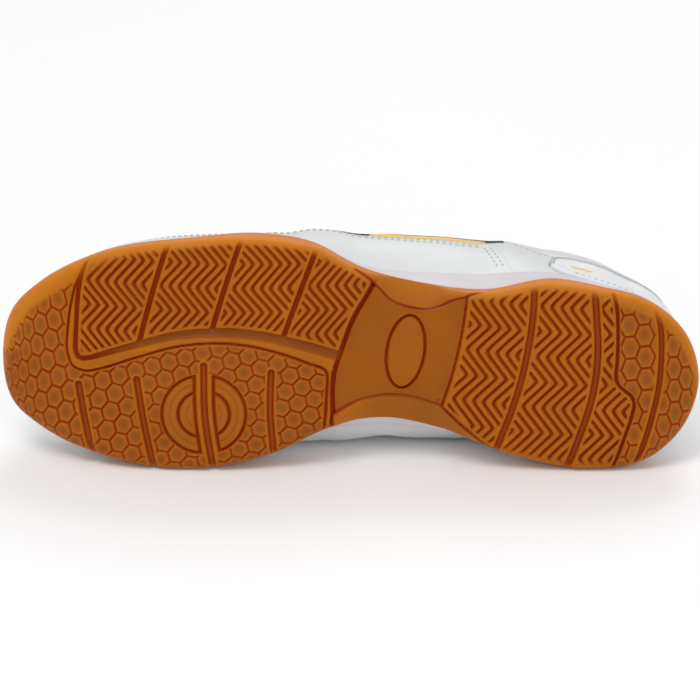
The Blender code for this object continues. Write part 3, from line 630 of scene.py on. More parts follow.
def shaded_mesh(name: str, points: Array, quads: Faces | None, finish: "Finish",
                marks: dict[str, Array] | None = None, uv: Array | None = None,
                normals: Array | None = None, middle: Array | None = None,
                stands: tuple[str, str] | None = None) -> Piece:
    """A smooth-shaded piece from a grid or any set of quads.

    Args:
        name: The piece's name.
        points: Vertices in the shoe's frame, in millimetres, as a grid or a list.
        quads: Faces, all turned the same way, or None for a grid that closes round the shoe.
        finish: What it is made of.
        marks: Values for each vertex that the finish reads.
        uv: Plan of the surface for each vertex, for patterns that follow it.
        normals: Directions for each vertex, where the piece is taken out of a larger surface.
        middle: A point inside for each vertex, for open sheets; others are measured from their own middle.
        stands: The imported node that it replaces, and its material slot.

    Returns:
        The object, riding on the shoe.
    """
    if quads is None:
        quads = grid_quads(*points.shape[:2], closed=True)
    keep, fours, threes = weld(points.reshape(-1, 3), quads)
    place = points.reshape(-1, 3)[keep]
    if normals is None:
        out = place - (place.mean(0) if middle is None else middle.reshape(-1, 3)[keep])
    else:
        out = normals = normals.reshape(-1, 3)[keep]
    votes = 0.0
    for faces in (fours, threes):
        a, b, c = (place[faces[:, k]] for k in (0, 1, -1))
        votes += float((np.cross(b - a, c - a) * out[faces[:, 0]]).sum())
    if votes < 0:
        fours, threes = fours[:, ::-1], threes[:, ::-1]
    loops = np.concatenate([fours.ravel(), threes.ravel()]).astype(np.int32)
    sizes = np.concatenate([np.full(len(fours), 4), np.full(len(threes), 3)]).astype(np.int32)
    mesh = bpy.data.meshes.new(name)
    mesh.vertices.add(len(place))
    mesh.vertices.foreach_set("co", POSE.lay(place).astype(np.float32).ravel())
    mesh.loops.add(len(loops))
    mesh.loops.foreach_set("vertex_index", loops)
    mesh.polygons.add(len(sizes))
    mesh.polygons.foreach_set("loop_start", np.concatenate([[0], np.cumsum(sizes)[:-1]]).astype(np.int32))
    mesh.polygons.foreach_set("use_smooth", np.ones(len(sizes), bool))
    mesh.update(calc_edges=True)
    for label, values in (marks or {}).items():
        layer = mesh.attributes.new(label, "FLOAT", "POINT")
        layer.data.foreach_set("value", np.asarray(values, np.float32).ravel()[keep])
    if uv is not None:
        layer = mesh.uv_layers.new(name="surface")
        layer.data.foreach_set("uv", uv.reshape(-1, 2)[keep][loops].astype(np.float32).ravel())
    if normals is not None:
        mesh.normals_split_custom_set_from_vertices(POSE.turn(normals).tolist())
    mesh.materials.append(finish.material())
    piece = bpy.data.objects.new(name, mesh)
    bpy.context.scene.collection.objects.link(piece)
    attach(piece, "root")
    if stands:
        stand_for(piece, *stands)
    return piece


def stand_for(piece: Piece, node: str, slot: str) -> None:
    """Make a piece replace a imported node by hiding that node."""
    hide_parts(node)


def grid_normals(points: Array) -> Array:
    """Outward directions of a grid that closes across its columns, by central differences.

    Args:
        points: The grid, one column a row.

    Returns:
        Directions of length one.
    """
    across = np.roll(points, -1, 0) - np.roll(points, 1, 0)
    normal = unit(np.cross(np.gradient(points, axis=1), across))
    normal[:, 0] = normal[:, 1]
    return normal


class Bench:
    """Places and joins the nodes of one material or node group."""

    def __init__(self, tree: bpy.types.NodeTree) -> None:
        """Start work on a node tree."""
        self.tree = tree

    def feed(self, socket: Socket, value: Feed) -> None:
        """Join a socket to another, or set its value; a colour gets its opacity.

        Args:
            socket: The input.
            value: Another node's output, a number, a vector or a colour.
        """
        if isinstance(value, bpy.types.NodeSocket):
            self.tree.links.new(value, socket)
        elif socket.type == "RGBA":
            socket.default_value = (*value, 1.0)
        else:
            socket.default_value = value

    def node(self, kind: str, inputs: dict[Union[str, int], Feed] | None = None,
             **settings: object) -> bpy.types.Node:
        """A node with its settings made and its inputs fed.

        Args:
            kind: Blender's name of the node type, without the leading word.
            inputs: Values or sockets by input name or number.
            settings: Settings of the node itself.

        Returns:
            The node.
        """
        made = self.tree.nodes.new("ShaderNode" + kind)
        for name, value in settings.items():
            setattr(made, name, value)
        for name, value in (inputs or {}).items():
            self.feed(made.inputs[name], value)
        return made

    def math(self, operation: str, first: Feed, second: Feed = 0.0) -> Socket:
        """One step of arithmetic."""
        return self.node("Math", {0: first, 1: second}, operation=operation).outputs[0]

    def times(self, first: Feed, second: Feed) -> Socket:
        """A product."""
        return self.math("MULTIPLY", first, second)

    def plus(self, first: Feed, second: Feed) -> Socket:
        """A sum."""
        return self.math("ADD", first, second)

    def mix(self, share: Feed, first: Feed, second: Feed, blend: str = "MIX") -> Socket:
        """A colour between two others."""
        made = self.node("Mix", {0: share, 6: first, 7: second}, data_type="RGBA", blend_type=blend)
        return made.outputs[2]

    def span(self, value: Socket, low: float, high: float, to_low: float, to_high: float) -> Socket:
        """A value carried from one range to another, and held at its ends."""
        inputs = {"Value": value, "From Min": low, "From Max": high, "To Min": to_low, "To Max": to_high}
        return self.node("MapRange", inputs).outputs["Result"]

    def noise(self, vector: Socket, scale: Feed, detail: float = 2.0, rough: float = 0.5) -> Socket:
        """A field of noise."""
        inputs = {"Vector": vector, "Scale": scale, "Detail": detail, "Roughness": rough}
        return self.node("TexNoise", inputs).outputs[0]

    def mark(self, name: str) -> Socket:
        """A value that the mesh holds for each vertex."""
        return self.node("Attribute", attribute_name=name).outputs["Fac"]

    def place(self, kind: str = "Object") -> Socket:
        """Coordinates of the surface."""
        return self.node("TexCoord").outputs[kind]

    def bump(self, height: Socket, strength: float, distance: float) -> Socket:
        """A surface normal raised by a height."""
        made = self.node("Bump", {"Height": height, "Strength": strength, "Distance": distance})
        return made.outputs["Normal"]

    def paint(self, shader: bpy.types.Node, colour: Socket, rough: Socket, normal: Socket) -> None:
        """Join colour, roughness and normal to a shader."""
        for name, value in (("Base Color", colour), ("Roughness", rough), ("Normal", normal)):
            self.feed(shader.inputs[name], value)


class Effect(Enum):
    """Surface effects that several finishes share, by the method that draws each."""

    HIDE_GRAIN = "hide_grain"
    WEAVE = "weave"
    HANDLING = "handling"


class Effects:
    """The shared effects, each built once as a node group that gives a height and a mask."""

    built: dict[Effect, bpy.types.NodeTree] = {}

    @classmethod
    def use(cls, bench: Bench, effect: Effect, **inputs: Feed) -> bpy.types.Node:
        """Place a shared effect on a bench with a finish's own values.

        Args:
            bench: Where the finish is made.
            effect: Which effect.
            inputs: The coordinates that it follows and the numbers that it takes.

        Returns:
            The node, with the outputs Height and Mask.
        """
        if effect not in cls.built:
            cls.built[effect] = cls.group(effect, tuple(inputs))
        return bench.node("Group", inputs, node_tree=cls.built[effect])

    @classmethod
    def group(cls, effect: Effect, labels: Sequence[str]) -> bpy.types.NodeTree:
        """A new node group for an effect.

        Args:
            effect: Which effect.
            labels: Its inputs, the coordinates first.

        Returns:
            The group.
        """
        tree = bpy.data.node_groups.new(effect.value, "ShaderNodeTree")
        for label in labels:
            kind = "NodeSocketVector" if label == "Vector" else "NodeSocketFloat"
            tree.interface.new_socket(label, in_out="INPUT", socket_type=kind)
        for label in ("Height", "Mask"):
            tree.interface.new_socket(label, in_out="OUTPUT", socket_type="NodeSocketFloat")
        bench = Bench(tree)
        entry, leave = tree.nodes.new("NodeGroupInput"), tree.nodes.new("NodeGroupOutput")
        drawn = getattr(cls, effect.value)(bench, *(entry.outputs[label] for label in labels))
        for label, value in zip(("Height", "Mask"), drawn):
            bench.feed(leave.inputs[label], value)
        return tree

    @staticmethod
    def hide_grain(bench: Bench, vector: Socket, scale: Socket) -> tuple[Socket, Socket]:
        """Pebbled grain: rounded cells broken up by finer noise.

        Args:
            bench: Where the nodes are placed.
            vector: Coordinates that it follows.
            scale: Cells to a unit of them.

        Returns:
            Height and mask.
        """
        cells = bench.node("TexVoronoi", {"Vector": vector, "Scale": scale}, feature="SMOOTH_F1")
        far = cells.outputs["Distance"]
        fine = bench.noise(vector, bench.times(scale, 2.7), 3.0)
        return bench.plus(bench.times(far, 0.8), bench.times(fine, 0.4)), bench.span(far, 0.2, 0.7, 0.0, 1.0)

    @staticmethod
    def weave(bench: Bench, vector: Socket, scale: Socket, slant: Socket) -> tuple[Socket, Socket]:
        """Plain weave: the product of two crossed waves, with a little unevenness in the yarns.

        Args:
            bench: Where the nodes are placed.
            vector: Coordinates that it follows.
            scale: Yarns to a unit of them.
            slant: Rise of the yarns.

        Returns:
            Height and mask.
        """
        split = bench.node("SeparateXYZ", {0: vector})
        pace = bench.times(scale, 2 * math.pi)
        rise = bench.times(split.outputs[1], slant)
        waves = [bench.math("SINE", bench.times(bench.math(way, split.outputs[0], rise), pace))
                 for way in ("ADD", "SUBTRACT")]
        yarn = bench.noise(vector, bench.times(scale, 3.0))
        height = bench.plus(bench.times(bench.times(*waves), 0.4), bench.times(yarn, 0.35))
        return bench.plus(height, 0.4), bench.span(height, -0.1, 0.5, 0.0, 1.0)

    @staticmethod
    def handling(bench: Bench, vector: Socket, scale: Socket) -> tuple[Socket, Socket]:
        """Slow, cloudy change of tone with finer specks, as handling and dust leave it."""
        cloud = bench.noise(vector, scale, 4.0, 0.6)
        return bench.noise(vector, bench.times(scale, 24.0)), bench.span(cloud, 0.32, 0.68, 0.0, 1.0)


class Finish:
    """A finish: its name, and the material that it makes once."""

    name: str = "finish"

    def material(self) -> bpy.types.Material:
        """The finish's material, made when it is first asked for.

        Returns:
            The material.
        """
        found = bpy.data.materials.get("finish_" + self.name)
        if found:
            return found
        made = bpy.data.materials.new("finish_" + self.name)
        made.use_nodes = True
        self.dress(Bench(made.node_tree), made.node_tree.nodes["Principled BSDF"])
        return made

    def dress(self, bench: Bench, shader: bpy.types.Node) -> None:
        """Join the finish's nodes to the shader.

        Args:
            bench: Where the nodes are placed.
            shader: The shader that they feed.
        """
        raise NotImplementedError


@dataclass(frozen=True)
class GumRubber(Finish):
    """Translucent gum rubber: amber where it stands proud, with dark red painted shade in its grooves and
    brighter orange painted light up its edge.
    """

    name: str = "gum_rubber"
    surface: Colour = (0.375, 0.112, 0.002)
    # Painted shade: the dark red that stands for shade in grooves and moulded lines.
    cut: Colour = (0.262, 0.021, 0.0)
    # Painted shade on the floors of hollows and wide grooves.
    hollow_shade: Colour = (0.225, 0.054, 0.007)
    # Painted light: brighter orange for the lit rounded edge and wall.
    painted_glow: Colour = (0.62, 0.20, 0.012)
    polished: Colour = (0.30, 0.080, 0.001)

    def dress(self, bench: Bench, shader: bpy.types.Node) -> None:
        """Mix the tones by the relief's own marks, two of them painted shade and one painted light, with a
        moulded skin and a soft translucency.

        Args:
            bench: Where the nodes are placed.
            shader: The shader that they feed.
        """
        cloud = Effects.use(bench, Effect.HANDLING, Vector=bench.place(), Scale=38.0)
        # Painted light: the rounded edge and wall are painted brighter orange where they face the lamps.
        colour = bench.mix(bench.mark("painted_glow"), self.surface, self.painted_glow)
        # Laid in order: the smoother panel's own tone, painted shade on hollow floors, then painted shade in
        # the grooves.
        for name, tone in (("polish", self.polished), ("hollow_shade", self.hollow_shade), ("cut", self.cut)):
            colour = bench.mix(bench.mark(name), colour, tone)
        tone = bench.span(cloud.outputs["Mask"], 0.0, 1.0, 0.93, 1.06)
        shade = bench.node("CombineColor", {0: tone, 1: tone, 2: tone})
        rough = bench.plus(bench.span(cloud.outputs["Height"], 0.3, 0.7, 0.40, 0.52),
                           bench.times(bench.mark("polish"), -0.14))
        bench.paint(shader, bench.mix(1.0, colour, shade.outputs[0], "MULTIPLY"), rough,
                    bench.bump(cloud.outputs["Height"], 0.25, 0.00012))
        shader.inputs["Subsurface Weight"].default_value = 0.18
        shader.inputs["Subsurface Radius"].default_value = (1.0, 0.35, 0.08)
        shader.inputs["Subsurface Scale"].default_value = 0.0025
        shader.inputs["Specular IOR Level"].default_value = 0.13


@dataclass(frozen=True)
class Foam(Finish):
    """White moulded foam with a fine dry skin."""

    name: str = "white_foam"
    light: Colour = (0.66, 0.615, 0.65)
    shade: Colour = (0.59, 0.55, 0.585)
    pores: float = 2600.0

    def dress(self, bench: Bench, shader: bpy.types.Node) -> None:
        """Cloud the white a little and give the skin its fine pores.

        Args:
            bench: Where the nodes are placed.
            shader: The shader that they feed.
        """
        place = bench.place()
        cloud = Effects.use(bench, Effect.HANDLING, Vector=place, Scale=30.0)
        bench.paint(shader, bench.mix(cloud.outputs["Mask"], self.shade, self.light),
                    bench.span(cloud.outputs["Height"], 0.3, 0.7, 0.5, 0.66),
                    bench.bump(bench.noise(place, self.pores), 0.3, 0.00008))


@dataclass(frozen=True)
class Leather(Finish):
    """Smooth synthetic leather, with a net of open textile where the mesh marks it."""

    name: str = "white_leather"
    light: Colour = (0.675, 0.69, 0.693)
    shade: Colour = (0.595, 0.61, 0.615)
    net: Colour = (0.66, 0.675, 0.68)
    net_gap: Colour = (0.30, 0.31, 0.32)
    seam: Colour = (0.46, 0.47, 0.48)
    grain: float = 1500.0
    net_pitch: float = 0.42
    net_slant: float = 0.62
    rough: float = 0.42

    def dress(self, bench: Bench, shader: bpy.types.Node) -> None:
        """Grain on the leather, a woven net in its windows, and a darker line along the steps.

        Args:
            bench: Where the nodes are placed.
            shader: The shader that they feed.
        """
        place = bench.place()
        cloud = Effects.use(bench, Effect.HANDLING, Vector=place, Scale=26.0)
        grain = Effects.use(bench, Effect.HIDE_GRAIN, Vector=place, Scale=self.grain)
        weave = Effects.use(bench, Effect.WEAVE, Vector=bench.place("UV"), Scale=self.net_pitch,
                            Slant=self.net_slant)
        net = bench.mark("net")
        leather = bench.mix(cloud.outputs["Mask"], self.shade, self.light)
        leather = bench.mix(bench.mark("seam"), leather, self.seam)
        textile = bench.mix(weave.outputs["Mask"], self.net_gap, self.net)
        skin = bench.span(grain.outputs["Mask"], 0.0, 1.0, self.rough - 0.04, self.rough + 0.08)
        bare = bench.times(grain.outputs["Height"], bench.math("SUBTRACT", 1.0, net))
        height = bench.plus(bench.times(bare, 0.22), bench.times(weave.outputs["Height"], net))
        bench.paint(shader, bench.mix(net, leather, textile), bench.plus(skin, bench.times(net, 0.4)),
                    bench.bump(height, 0.55, 0.0003))


@dataclass(frozen=True)
class Trim(Finish):
    """Coated trim of one colour, with a fine grain and a slightly glossier skin than the leather."""

    name: str = "white_trim"
    light: Colour = (0.80, 0.82, 0.835)
    shade: Colour = (0.68, 0.695, 0.715)
    rough: float = 0.36
    grain: float = 1900.0

    def dress(self, bench: Bench, shader: bpy.types.Node) -> None:
        """Cloud the tone and raise the grain.

        Args:
            bench: Where the nodes are placed.
            shader: The shader that they feed.
        """
        place = bench.place()
        cloud = Effects.use(bench, Effect.HANDLING, Vector=place, Scale=34.0)
        grain = Effects.use(bench, Effect.HIDE_GRAIN, Vector=place, Scale=self.grain)
        bench.paint(shader, bench.mix(cloud.outputs["Mask"], self.shade, self.light),
                    bench.span(grain.outputs["Mask"], 0.0, 1.0, self.rough - 0.03, self.rough + 0.09),
                    bench.bump(grain.outputs["Height"], 0.3, 0.00008))


@dataclass(frozen=True)
class Textile(Finish):
    """Woven or knitted cloth that follows the piece's own plan, in millimetres."""

    name: str = "white_textile"
    light: Colour = (0.74, 0.75, 0.755)
    shade: Colour = (0.50, 0.51, 0.52)
    pitch: float = 0.55
    slant: float = 1.0
    depth: float = 0.0003

    def dress(self, bench: Bench, shader: bpy.types.Node) -> None:
        """Weave the yarns, darker between them, with a soft bloom.

        Args:
            bench: Where the nodes are placed.
            shader: The shader that they feed.
        """
        cloud = Effects.use(bench, Effect.HANDLING, Vector=bench.place(), Scale=30.0)
        weave = Effects.use(bench, Effect.WEAVE, Vector=bench.place("UV"), Scale=self.pitch, Slant=self.slant)
        yarn = bench.mix(weave.outputs["Mask"], self.shade, self.light)
        worn = bench.mix(bench.span(cloud.outputs["Mask"], 0.0, 1.0, 0.0, 0.25), yarn, self.shade)
        bench.paint(shader, worn, bench.span(weave.outputs["Mask"], 0.0, 1.0, 0.95, 0.8),
                    bench.bump(weave.outputs["Height"], 0.7, self.depth))
        shader.inputs["Sheen Weight"].default_value = 0.15


@dataclass(frozen=True)
class Floor(Finish):
    """Pale studio floor."""

    name: str = "studio_floor"
    light: Colour = (0.945, 0.945, 0.945)
    shade: Colour = (0.93, 0.93, 0.93)

    def dress(self, bench: Bench, shader: bpy.types.Node) -> None:
        """A near-white sheet with the faintest unevenness.

        Args:
            bench: Where the nodes are placed.
            shader: The shader that they feed.
        """
        cloud = Effects.use(bench, Effect.HANDLING, Vector=bench.place(), Scale=2.0)
        bench.feed(shader.inputs["Base Color"], bench.mix(cloud.outputs["Mask"], self.shade, self.light))
        shader.inputs["Roughness"].default_value = 0.9


GUM = GumRubber()
FOAM = Foam()
LEATHER = Leather()
TRIM = Trim()
DARK_TRIM = Trim("dark_trim", (0.020, 0.024, 0.040), (0.012, 0.014, 0.024), 0.38)
GOLD_TRIM = Trim("gold_trim", (0.86, 0.56, 0.16), (0.80, 0.50, 0.13), 0.4)
# Grey that paints the shade along the heel counter's top border.
SHADE_GREY_TRIM = Trim("shade_grey_trim", (0.50, 0.51, 0.51), (0.42, 0.43, 0.435), 0.42)
TONGUE_CLOTH = Textile()
LINING_CLOTH = Textile("grey_lining", (0.52, 0.53, 0.55), (0.36, 0.365, 0.38), 0.7, 1.0, 0.0002)
INSOLE_CLOTH = Textile("grey_insole", (0.34, 0.345, 0.36), (0.20, 0.205, 0.215), 0.8, 1.0, 0.0002)
LACE_WEAVE = Textile("white_lace", (0.80, 0.80, 0.79), (0.52, 0.52, 0.52), 0.85, 0.7, 0.0003)
# Thread tone darkened to grey: painted shade of the stitches on the white leather.
SHADE_GREY_THREAD = Textile("grey_thread_painted_shade", (0.56, 0.57, 0.58), (0.44, 0.45, 0.46), 1.6, 1.0, 0.0001)


def least(*values: Array) -> Array:
    """The smallest of several values at each point."""
    return np.minimum.reduce(np.broadcast_arrays(*values))


def deepen(mark: Array, value: Array) -> None:
    """Bring an array up to a value wherever it is lower."""
    np.maximum(mark, value, out=mark)


class Relief(NamedTuple):
    """What the tread pattern gives at each point: depth sunk into it and the marks that colour it, two of
    them painted shade.
    """

    depth: Array
    # Painted shade in grooves and moulded lines.
    cut: Array
    # Painted shade on hollow floors, with a plain darker tint on the waist flanks.
    hollow_shade: Array
    polish: Array


class Mould:
    """Plan points of the tread, and the pattern that is sunk into them line by line."""

    def __init__(self, x: Array, y: Array, inset: Array, climb: Array) -> None:
        """Start from a bare sole.

        Args:
            x: Plan places, unrolled past the rounded edge.
            y: Plan places, unrolled past the rounded edge.
            inset: Distance inside the sole's outline.
            climb: 0 on the tread, rising to 1 at the top of the rounded edge.
        """
        self.x, self.y, self.inset, self.climb = x, y, inset, climb
        # floor marks the groove floors that take painted shade; calm holds the narrow groove shade back on
        # wide floors.
        self.depth, self.floor, self.calm = (np.zeros(x.shape) for _ in range(3))
        self.chevrons = np.full(x.shape, FAR)
        self.outer_side = y < spine_y(x)
        self.open_edge = 1.0 - ease(0.55, 1.0, climb)
        self.run_out = np.where(self.outer_side, 1.0 - ease(0.1, 0.75, climb), self.open_edge)

    def gap(self, path: Plan) -> Array:
        """Distance from a path."""
        return path_distance(self.x, self.y, open_curve(path))[0]

    def past(self, path: Plan) -> Mask:
        """Points on the heel's side of a path that rises in y."""
        return self.x > x_on(path, self.y)

    def carve(self, distance: Array, line: Line, share: Value = 1.0) -> None:
        """Sink a line into the pattern, or a share of its depth."""
        deepen(self.depth, share * line.depth * trough(distance, line.width, line.soft) * self.open_edge)

    def sink(self, groove: Groove, share: Value = 1.0, where: Mask | None = None) -> tuple[Array, Array]:
        """Sink a groove into the pattern.

        Args:
            groove: The groove.
            share: Share of its depth.
            where: Points that it may reach, or None for all.

        Returns:
            Distance from its middle line, and its width there.
        """
        distance, along = path_distance(self.x, self.y, open_curve(groove.path))
        wide = groove.start_width + (groove.end_width - groove.start_width) * ease(0.25, 1.0, along)
        reached = distance if where is None else np.where(where, distance, FAR)
        self.carve(reached, Line(wide, groove.depth, groove.soft), share)
        return distance, wide


class Waist(NamedTuple):
    """Distances from the waist's lines at each point, and where its panel and its flanks lie."""

    front: Array
    rear: Array
    outer: Array
    inner: Array
    within: Mask
    flank: Mask

    @classmethod
    def of(cls, mould: Mould) -> "Waist":
        """Measure the waist's lines from a mould's points.

        Args:
            mould: The points.

        Returns:
            What was measured.
        """
        x, y = mould.x, mould.y
        flank = np.zeros(x.shape, bool)
        for path, way in ((OUTER_CREASE, -1), (INNER_CREASE, 1)):
            line = open_curve(path)
            beyond = way * (y - np.interp(x, line[:, 0], line[:, 1])) > 0
            flank |= (x > line[0, 0]) & (x < line[-1, 0]) & beyond
        within = mould.past(WAIST_FRONT) & ~mould.past(WAIST_REAR)
        gaps = (mould.gap(path) for path in (WAIST_FRONT, WAIST_REAR[:6], OUTER_CREASE, INNER_CREASE))
        return cls(*gaps, within, flank)

    @property
    def crease(self) -> Array:
        """Distance from the nearer of the two creases."""
        return np.minimum(self.outer, self.inner)


@dataclass(frozen=True)
class Tread:
    """The moulded pattern of the tread, as depths over the plan."""

    slot: Line = Line(1.0, 1.3, 0.42)
    slot_rim: float = 1.9
    sharp_tip: float = 0.018
    blunt_tip: float = 0.05
    fan_middle: float = 8.0
    toe_curl_x: float = -117.0
    toe_curl: float = 0.0004
    comb_line: Line = Line(0.85, 0.7, 0.26)
    dish_depth: float = 0.45
    dish_size: float = 0.46
    dish_rim: float = 1.9
    pivot: tuple[float, float] = (-60.7, 28.3)
    pivot_rings: tuple[float, float] = (16.8, 9.9)
    pivot_line: Line = Line(1.15, 1.3, 0.32)
    faint_rings: tuple[float, float] = (13.4, 6.4)
    faint_line: Line = Line(0.5, 0.4, 0.3)
    pivot_flat: float = 4.0
    pivot_front_shift: float = -1.9
    oval: tuple[float, float] = (23.4, 1.2)
    oval_half: tuple[float, float] = (15.8, 7.9)
    oval_lean_deg: float = 8.5
    oval_line: Line = Line(0.9, 1.5, 0.3)
    waist_depth: float = 2.0
    waist_crown: float = 0.5
    front_line: Line = Line(1.7, 2.9, 0.4)
    rear_line: Line = Line(0.8, 2.2, 0.35)
    outer_fold: Line = Line(1.5, 0.55, 0.5)
    inner_fold: Line = Line(2.3, 0.55, 0.6)
    speck: tuple[float, float] = (37.0, 22.2)
    speck_line: Line = Line(1.2, 1.2, 0.3)
    blocks_beyond: Plan = ((20.0, -90.0), (-110.0, -90.0))
    comb_beyond: Plan = ((-11.0, 90.0), (-190.0, 90.0), (-190.0, -90.0), (-106.0, -90.0))
    toe_margin: Plan = ((-35.0, 7.2), (-10.0, 5.0), (5.0, 1.8), (15.0, 0.5))
    heel_margin: Plan = ((-15.0, 5.0), (5.0, 3.0), (15.0, 1.5), (30.0, 0.5))

    def zigzag(self, x: Array, y: Array, slots: Chevrons, sizes: SlotSizes) -> Array:
        """Distance from the nearest of a block's zigzag lines.

        Each line is a triangle wave across the sole, rounded a little at its rear tips and more at
        its front ones.

        Args:
            x: Plan places.
            y: Plan places.
            slots: The block's own place, lean and drift.
            sizes: Spacing, half height and period.

        Returns:
            Distances in millimetres.
        """
        turn = (y - slots.tip_y - slots.drift * (x - slots.tip_x)) / sizes.period
        share = 0.5 - np.hypot(0.5 - np.abs(turn - np.round(turn)), self.blunt_tip)
        ramp = np.hypot(np.maximum(share, 0.0), self.sharp_tip) - self.sharp_tip
        line = slots.tip_x + slots.lean * (y - slots.tip_y) - 4 * sizes.swing * ramp
        step = (x - line) / sizes.pitch
        slant = math.hypot(1.0, 4 * sizes.swing / sizes.period)
        return np.abs(step - np.round(step)) * sizes.pitch / slant

    def zigzags(self, mould: Mould, blocks: Mask, splits: Sequence[Groove], rows: Sequence[Chevrons],
                sizes: SlotSizes) -> None:
        """Measure the zigzag lines of the blocks that lie between grooves.

        Args:
            mould: Where they are noted.
            blocks: Points of the blocks.
            splits: Grooves between the blocks, from toe to heel.
            rows: Each block's own place, lean and drift.
            sizes: Spacing, half height and period.
        """
        block = sum(mould.past(split.path).astype(int) for split in splits)
        for number, slots in enumerate(rows):
            here = blocks & (block == number)
            mould.chevrons[here] = self.zigzag(mould.x[here], mould.y[here], slots, sizes)

    def forefoot(self, mould: Mould, waist: Waist) -> Array:
        """Sink the channel round the forefoot's blocks and the grooves between them.

        Args:
            mould: Where they are sunk.
            waist: The waist's lines.

        Returns:
            Distance from the border of a block.
        """
        channel, front = open_curve(CHANNEL.path), open_curve(WAIST_FRONT, 2.0)
        edge, along = path_distance(mould.x, mould.y, channel)
        wide = CHANNEL.start_width + (CHANNEL.end_width - CHANNEL.start_width) * ease(0.15, 0.75, along)
        loop = np.concatenate([channel, front[front[:, 1] < 1.0][::-1], self.blocks_beyond])
        blocks = inside(mould.x, mould.y, loop)
        outward = np.where(blocks, -edge, edge)
        sunk = ease(-0.3, 0.5, outward) * (1 - ease(0.5, 0.78, outward / wide)) * ~mould.past(WAIST_FRONT)
        broad = ease(2.8, 4.6, wide)
        deepen(mould.depth, CHANNEL.depth * sunk * mould.open_edge)
        # Painted shade on the channel's wide floor, with the narrow groove shade held back on it.
        deepen(mould.floor, broad * sunk * ease(0.2, 1.0, outward))
        deepen(mould.calm, broad * ease(0.0, 0.3, sunk) * ease(0.2, 0.9, outward))
        for split in BLOCK_SPLITS:
            gap, wide = mould.sink(split, mould.run_out, blocks)
            edge = np.minimum(edge, gap - wide / 2)
        self.zigzags(mould, blocks, BLOCK_SPLITS, FOREFOOT_CHEVRONS, FOREFOOT_SLOTS)
        return least(edge, waist.front - 1.2, waist.crease - 1.2, 0.8 * (mould.inset - 0.4))

    def heel(self, mould: Mould, waist: Waist, edge: Array) -> tuple[Array, Array]:
        """Sink the heel's grooves and the slit between its blocks and its honeycomb.

        Args:
            mould: Where they are sunk.
            waist: The waist's lines.
            edge: Distance from the border of a block, as far as the forefoot has it.

        Returns:
            Distance from the border of a block at both ends, and from that of the heel's honeycomb.
        """
        heel_gap = np.full(mould.x.shape, FAR)
        for groove in HEEL_GROOVES:
            gap, wide = mould.sink(groove, mould.run_out)
            # Painted shade on each groove's floor, with the narrow groove shade held back there.
            floor = trough(gap, wide - 0.9, 0.4)
            deepen(mould.floor, 0.7 * mould.run_out * floor)
            deepen(mould.calm, 0.42 * floor)
            heel_gap = np.minimum(heel_gap, gap - wide / 2)
        slit_gap, _ = mould.sink(HEEL_SLIT)
        blocks = mould.past(WAIST_REAR) & ~mould.past(HEEL_SLIT.path)
        self.zigzags(mould, blocks, HEEL_GROOVES[:2], HEEL_CHEVRONS, HEEL_SLOTS)
        own_edge = least(heel_gap, slit_gap - 0.5, waist.rear - 0.9, waist.crease - 0.9,
                         0.8 * (mould.inset - 0.2))
        return np.where(blocks, own_edge, edge), np.minimum(slit_gap - 0.6, heel_gap - 0.7)

    def disc(self, mould: Mould, field: Mask) -> Array:
        """Sink the pivot disc's rings, which run straight along the slot that parts them.

        Args:
            mould: Where they are sunk.
            field: The forefoot's honeycomb.

        Returns:
            Distance outside the disc.
        """
        slot_gap = mould.gap(PIVOT_SLOT.path)
        pivot_x = self.pivot[0] + self.pivot_front_shift * ~mould.past(PIVOT_SLOT.path)
        away = np.hypot(mould.x - pivot_x, mould.y - self.pivot[1])
        outside = away - self.pivot_rings[0]
        ring = least(*(np.abs(np.maximum(away - r, self.pivot_flat - slot_gap)) for r in self.pivot_rings))
        mould.carve(np.where(field & (outside < 1.5), ring, FAR), self.pivot_line)
        faint = least(*(np.abs(away - r) for r in self.faint_rings))
        mould.carve(np.where(slot_gap > self.pivot_flat + 1.4, faint, FAR), self.faint_line)
        clear = ease(0.0, 0.8, slot_gap - self.pivot_flat)
        # The same darker tone inside the disc, clear of its slot.
        deepen(mould.floor, 0.3 * ease(0.0, 1.0, -outside) * clear * field)
        return outside - 0.4

    @staticmethod
    def cells(x: Array, y: Array, comb: Comb) -> tuple[Array, Array]:
        """Honeycomb of two interleaved grids.

        Args:
            x: Plan places.
            y: Plan places.
            comb: The honeycomb's sizes and place.

        Returns:
            Distance from the nearest cell edge, and from the cell's middle as a share of its size.
        """
        c, s = math.cos(math.radians(comb.turn_deg)), math.sin(math.radians(comb.turn_deg))
        ox, oy = (x - comb.x) / comb.squash, y - comb.y
        u, v = (ox * c + oy * s) / comb.size, (oy * c - ox * s) / comb.size
        tall = math.sqrt(3.0)
        au, av = u - np.round(u), v - tall * np.round(v / tall)
        bu = u - 0.5 - np.round(u - 0.5)
        bv = v - tall / 2 - tall * np.round((v - tall / 2) / tall)
        first = au ** 2 + av ** 2 < bu ** 2 + bv ** 2
        qu, qv = np.where(first, au, bu), np.where(first, av, bv)
        spread = np.maximum(np.abs(qu), np.abs(qu) * 0.5 + np.abs(qv) * tall / 2)
        return (0.5 - spread) * comb.size * 0.5 * (1.0 + comb.squash), np.hypot(qu, qv)

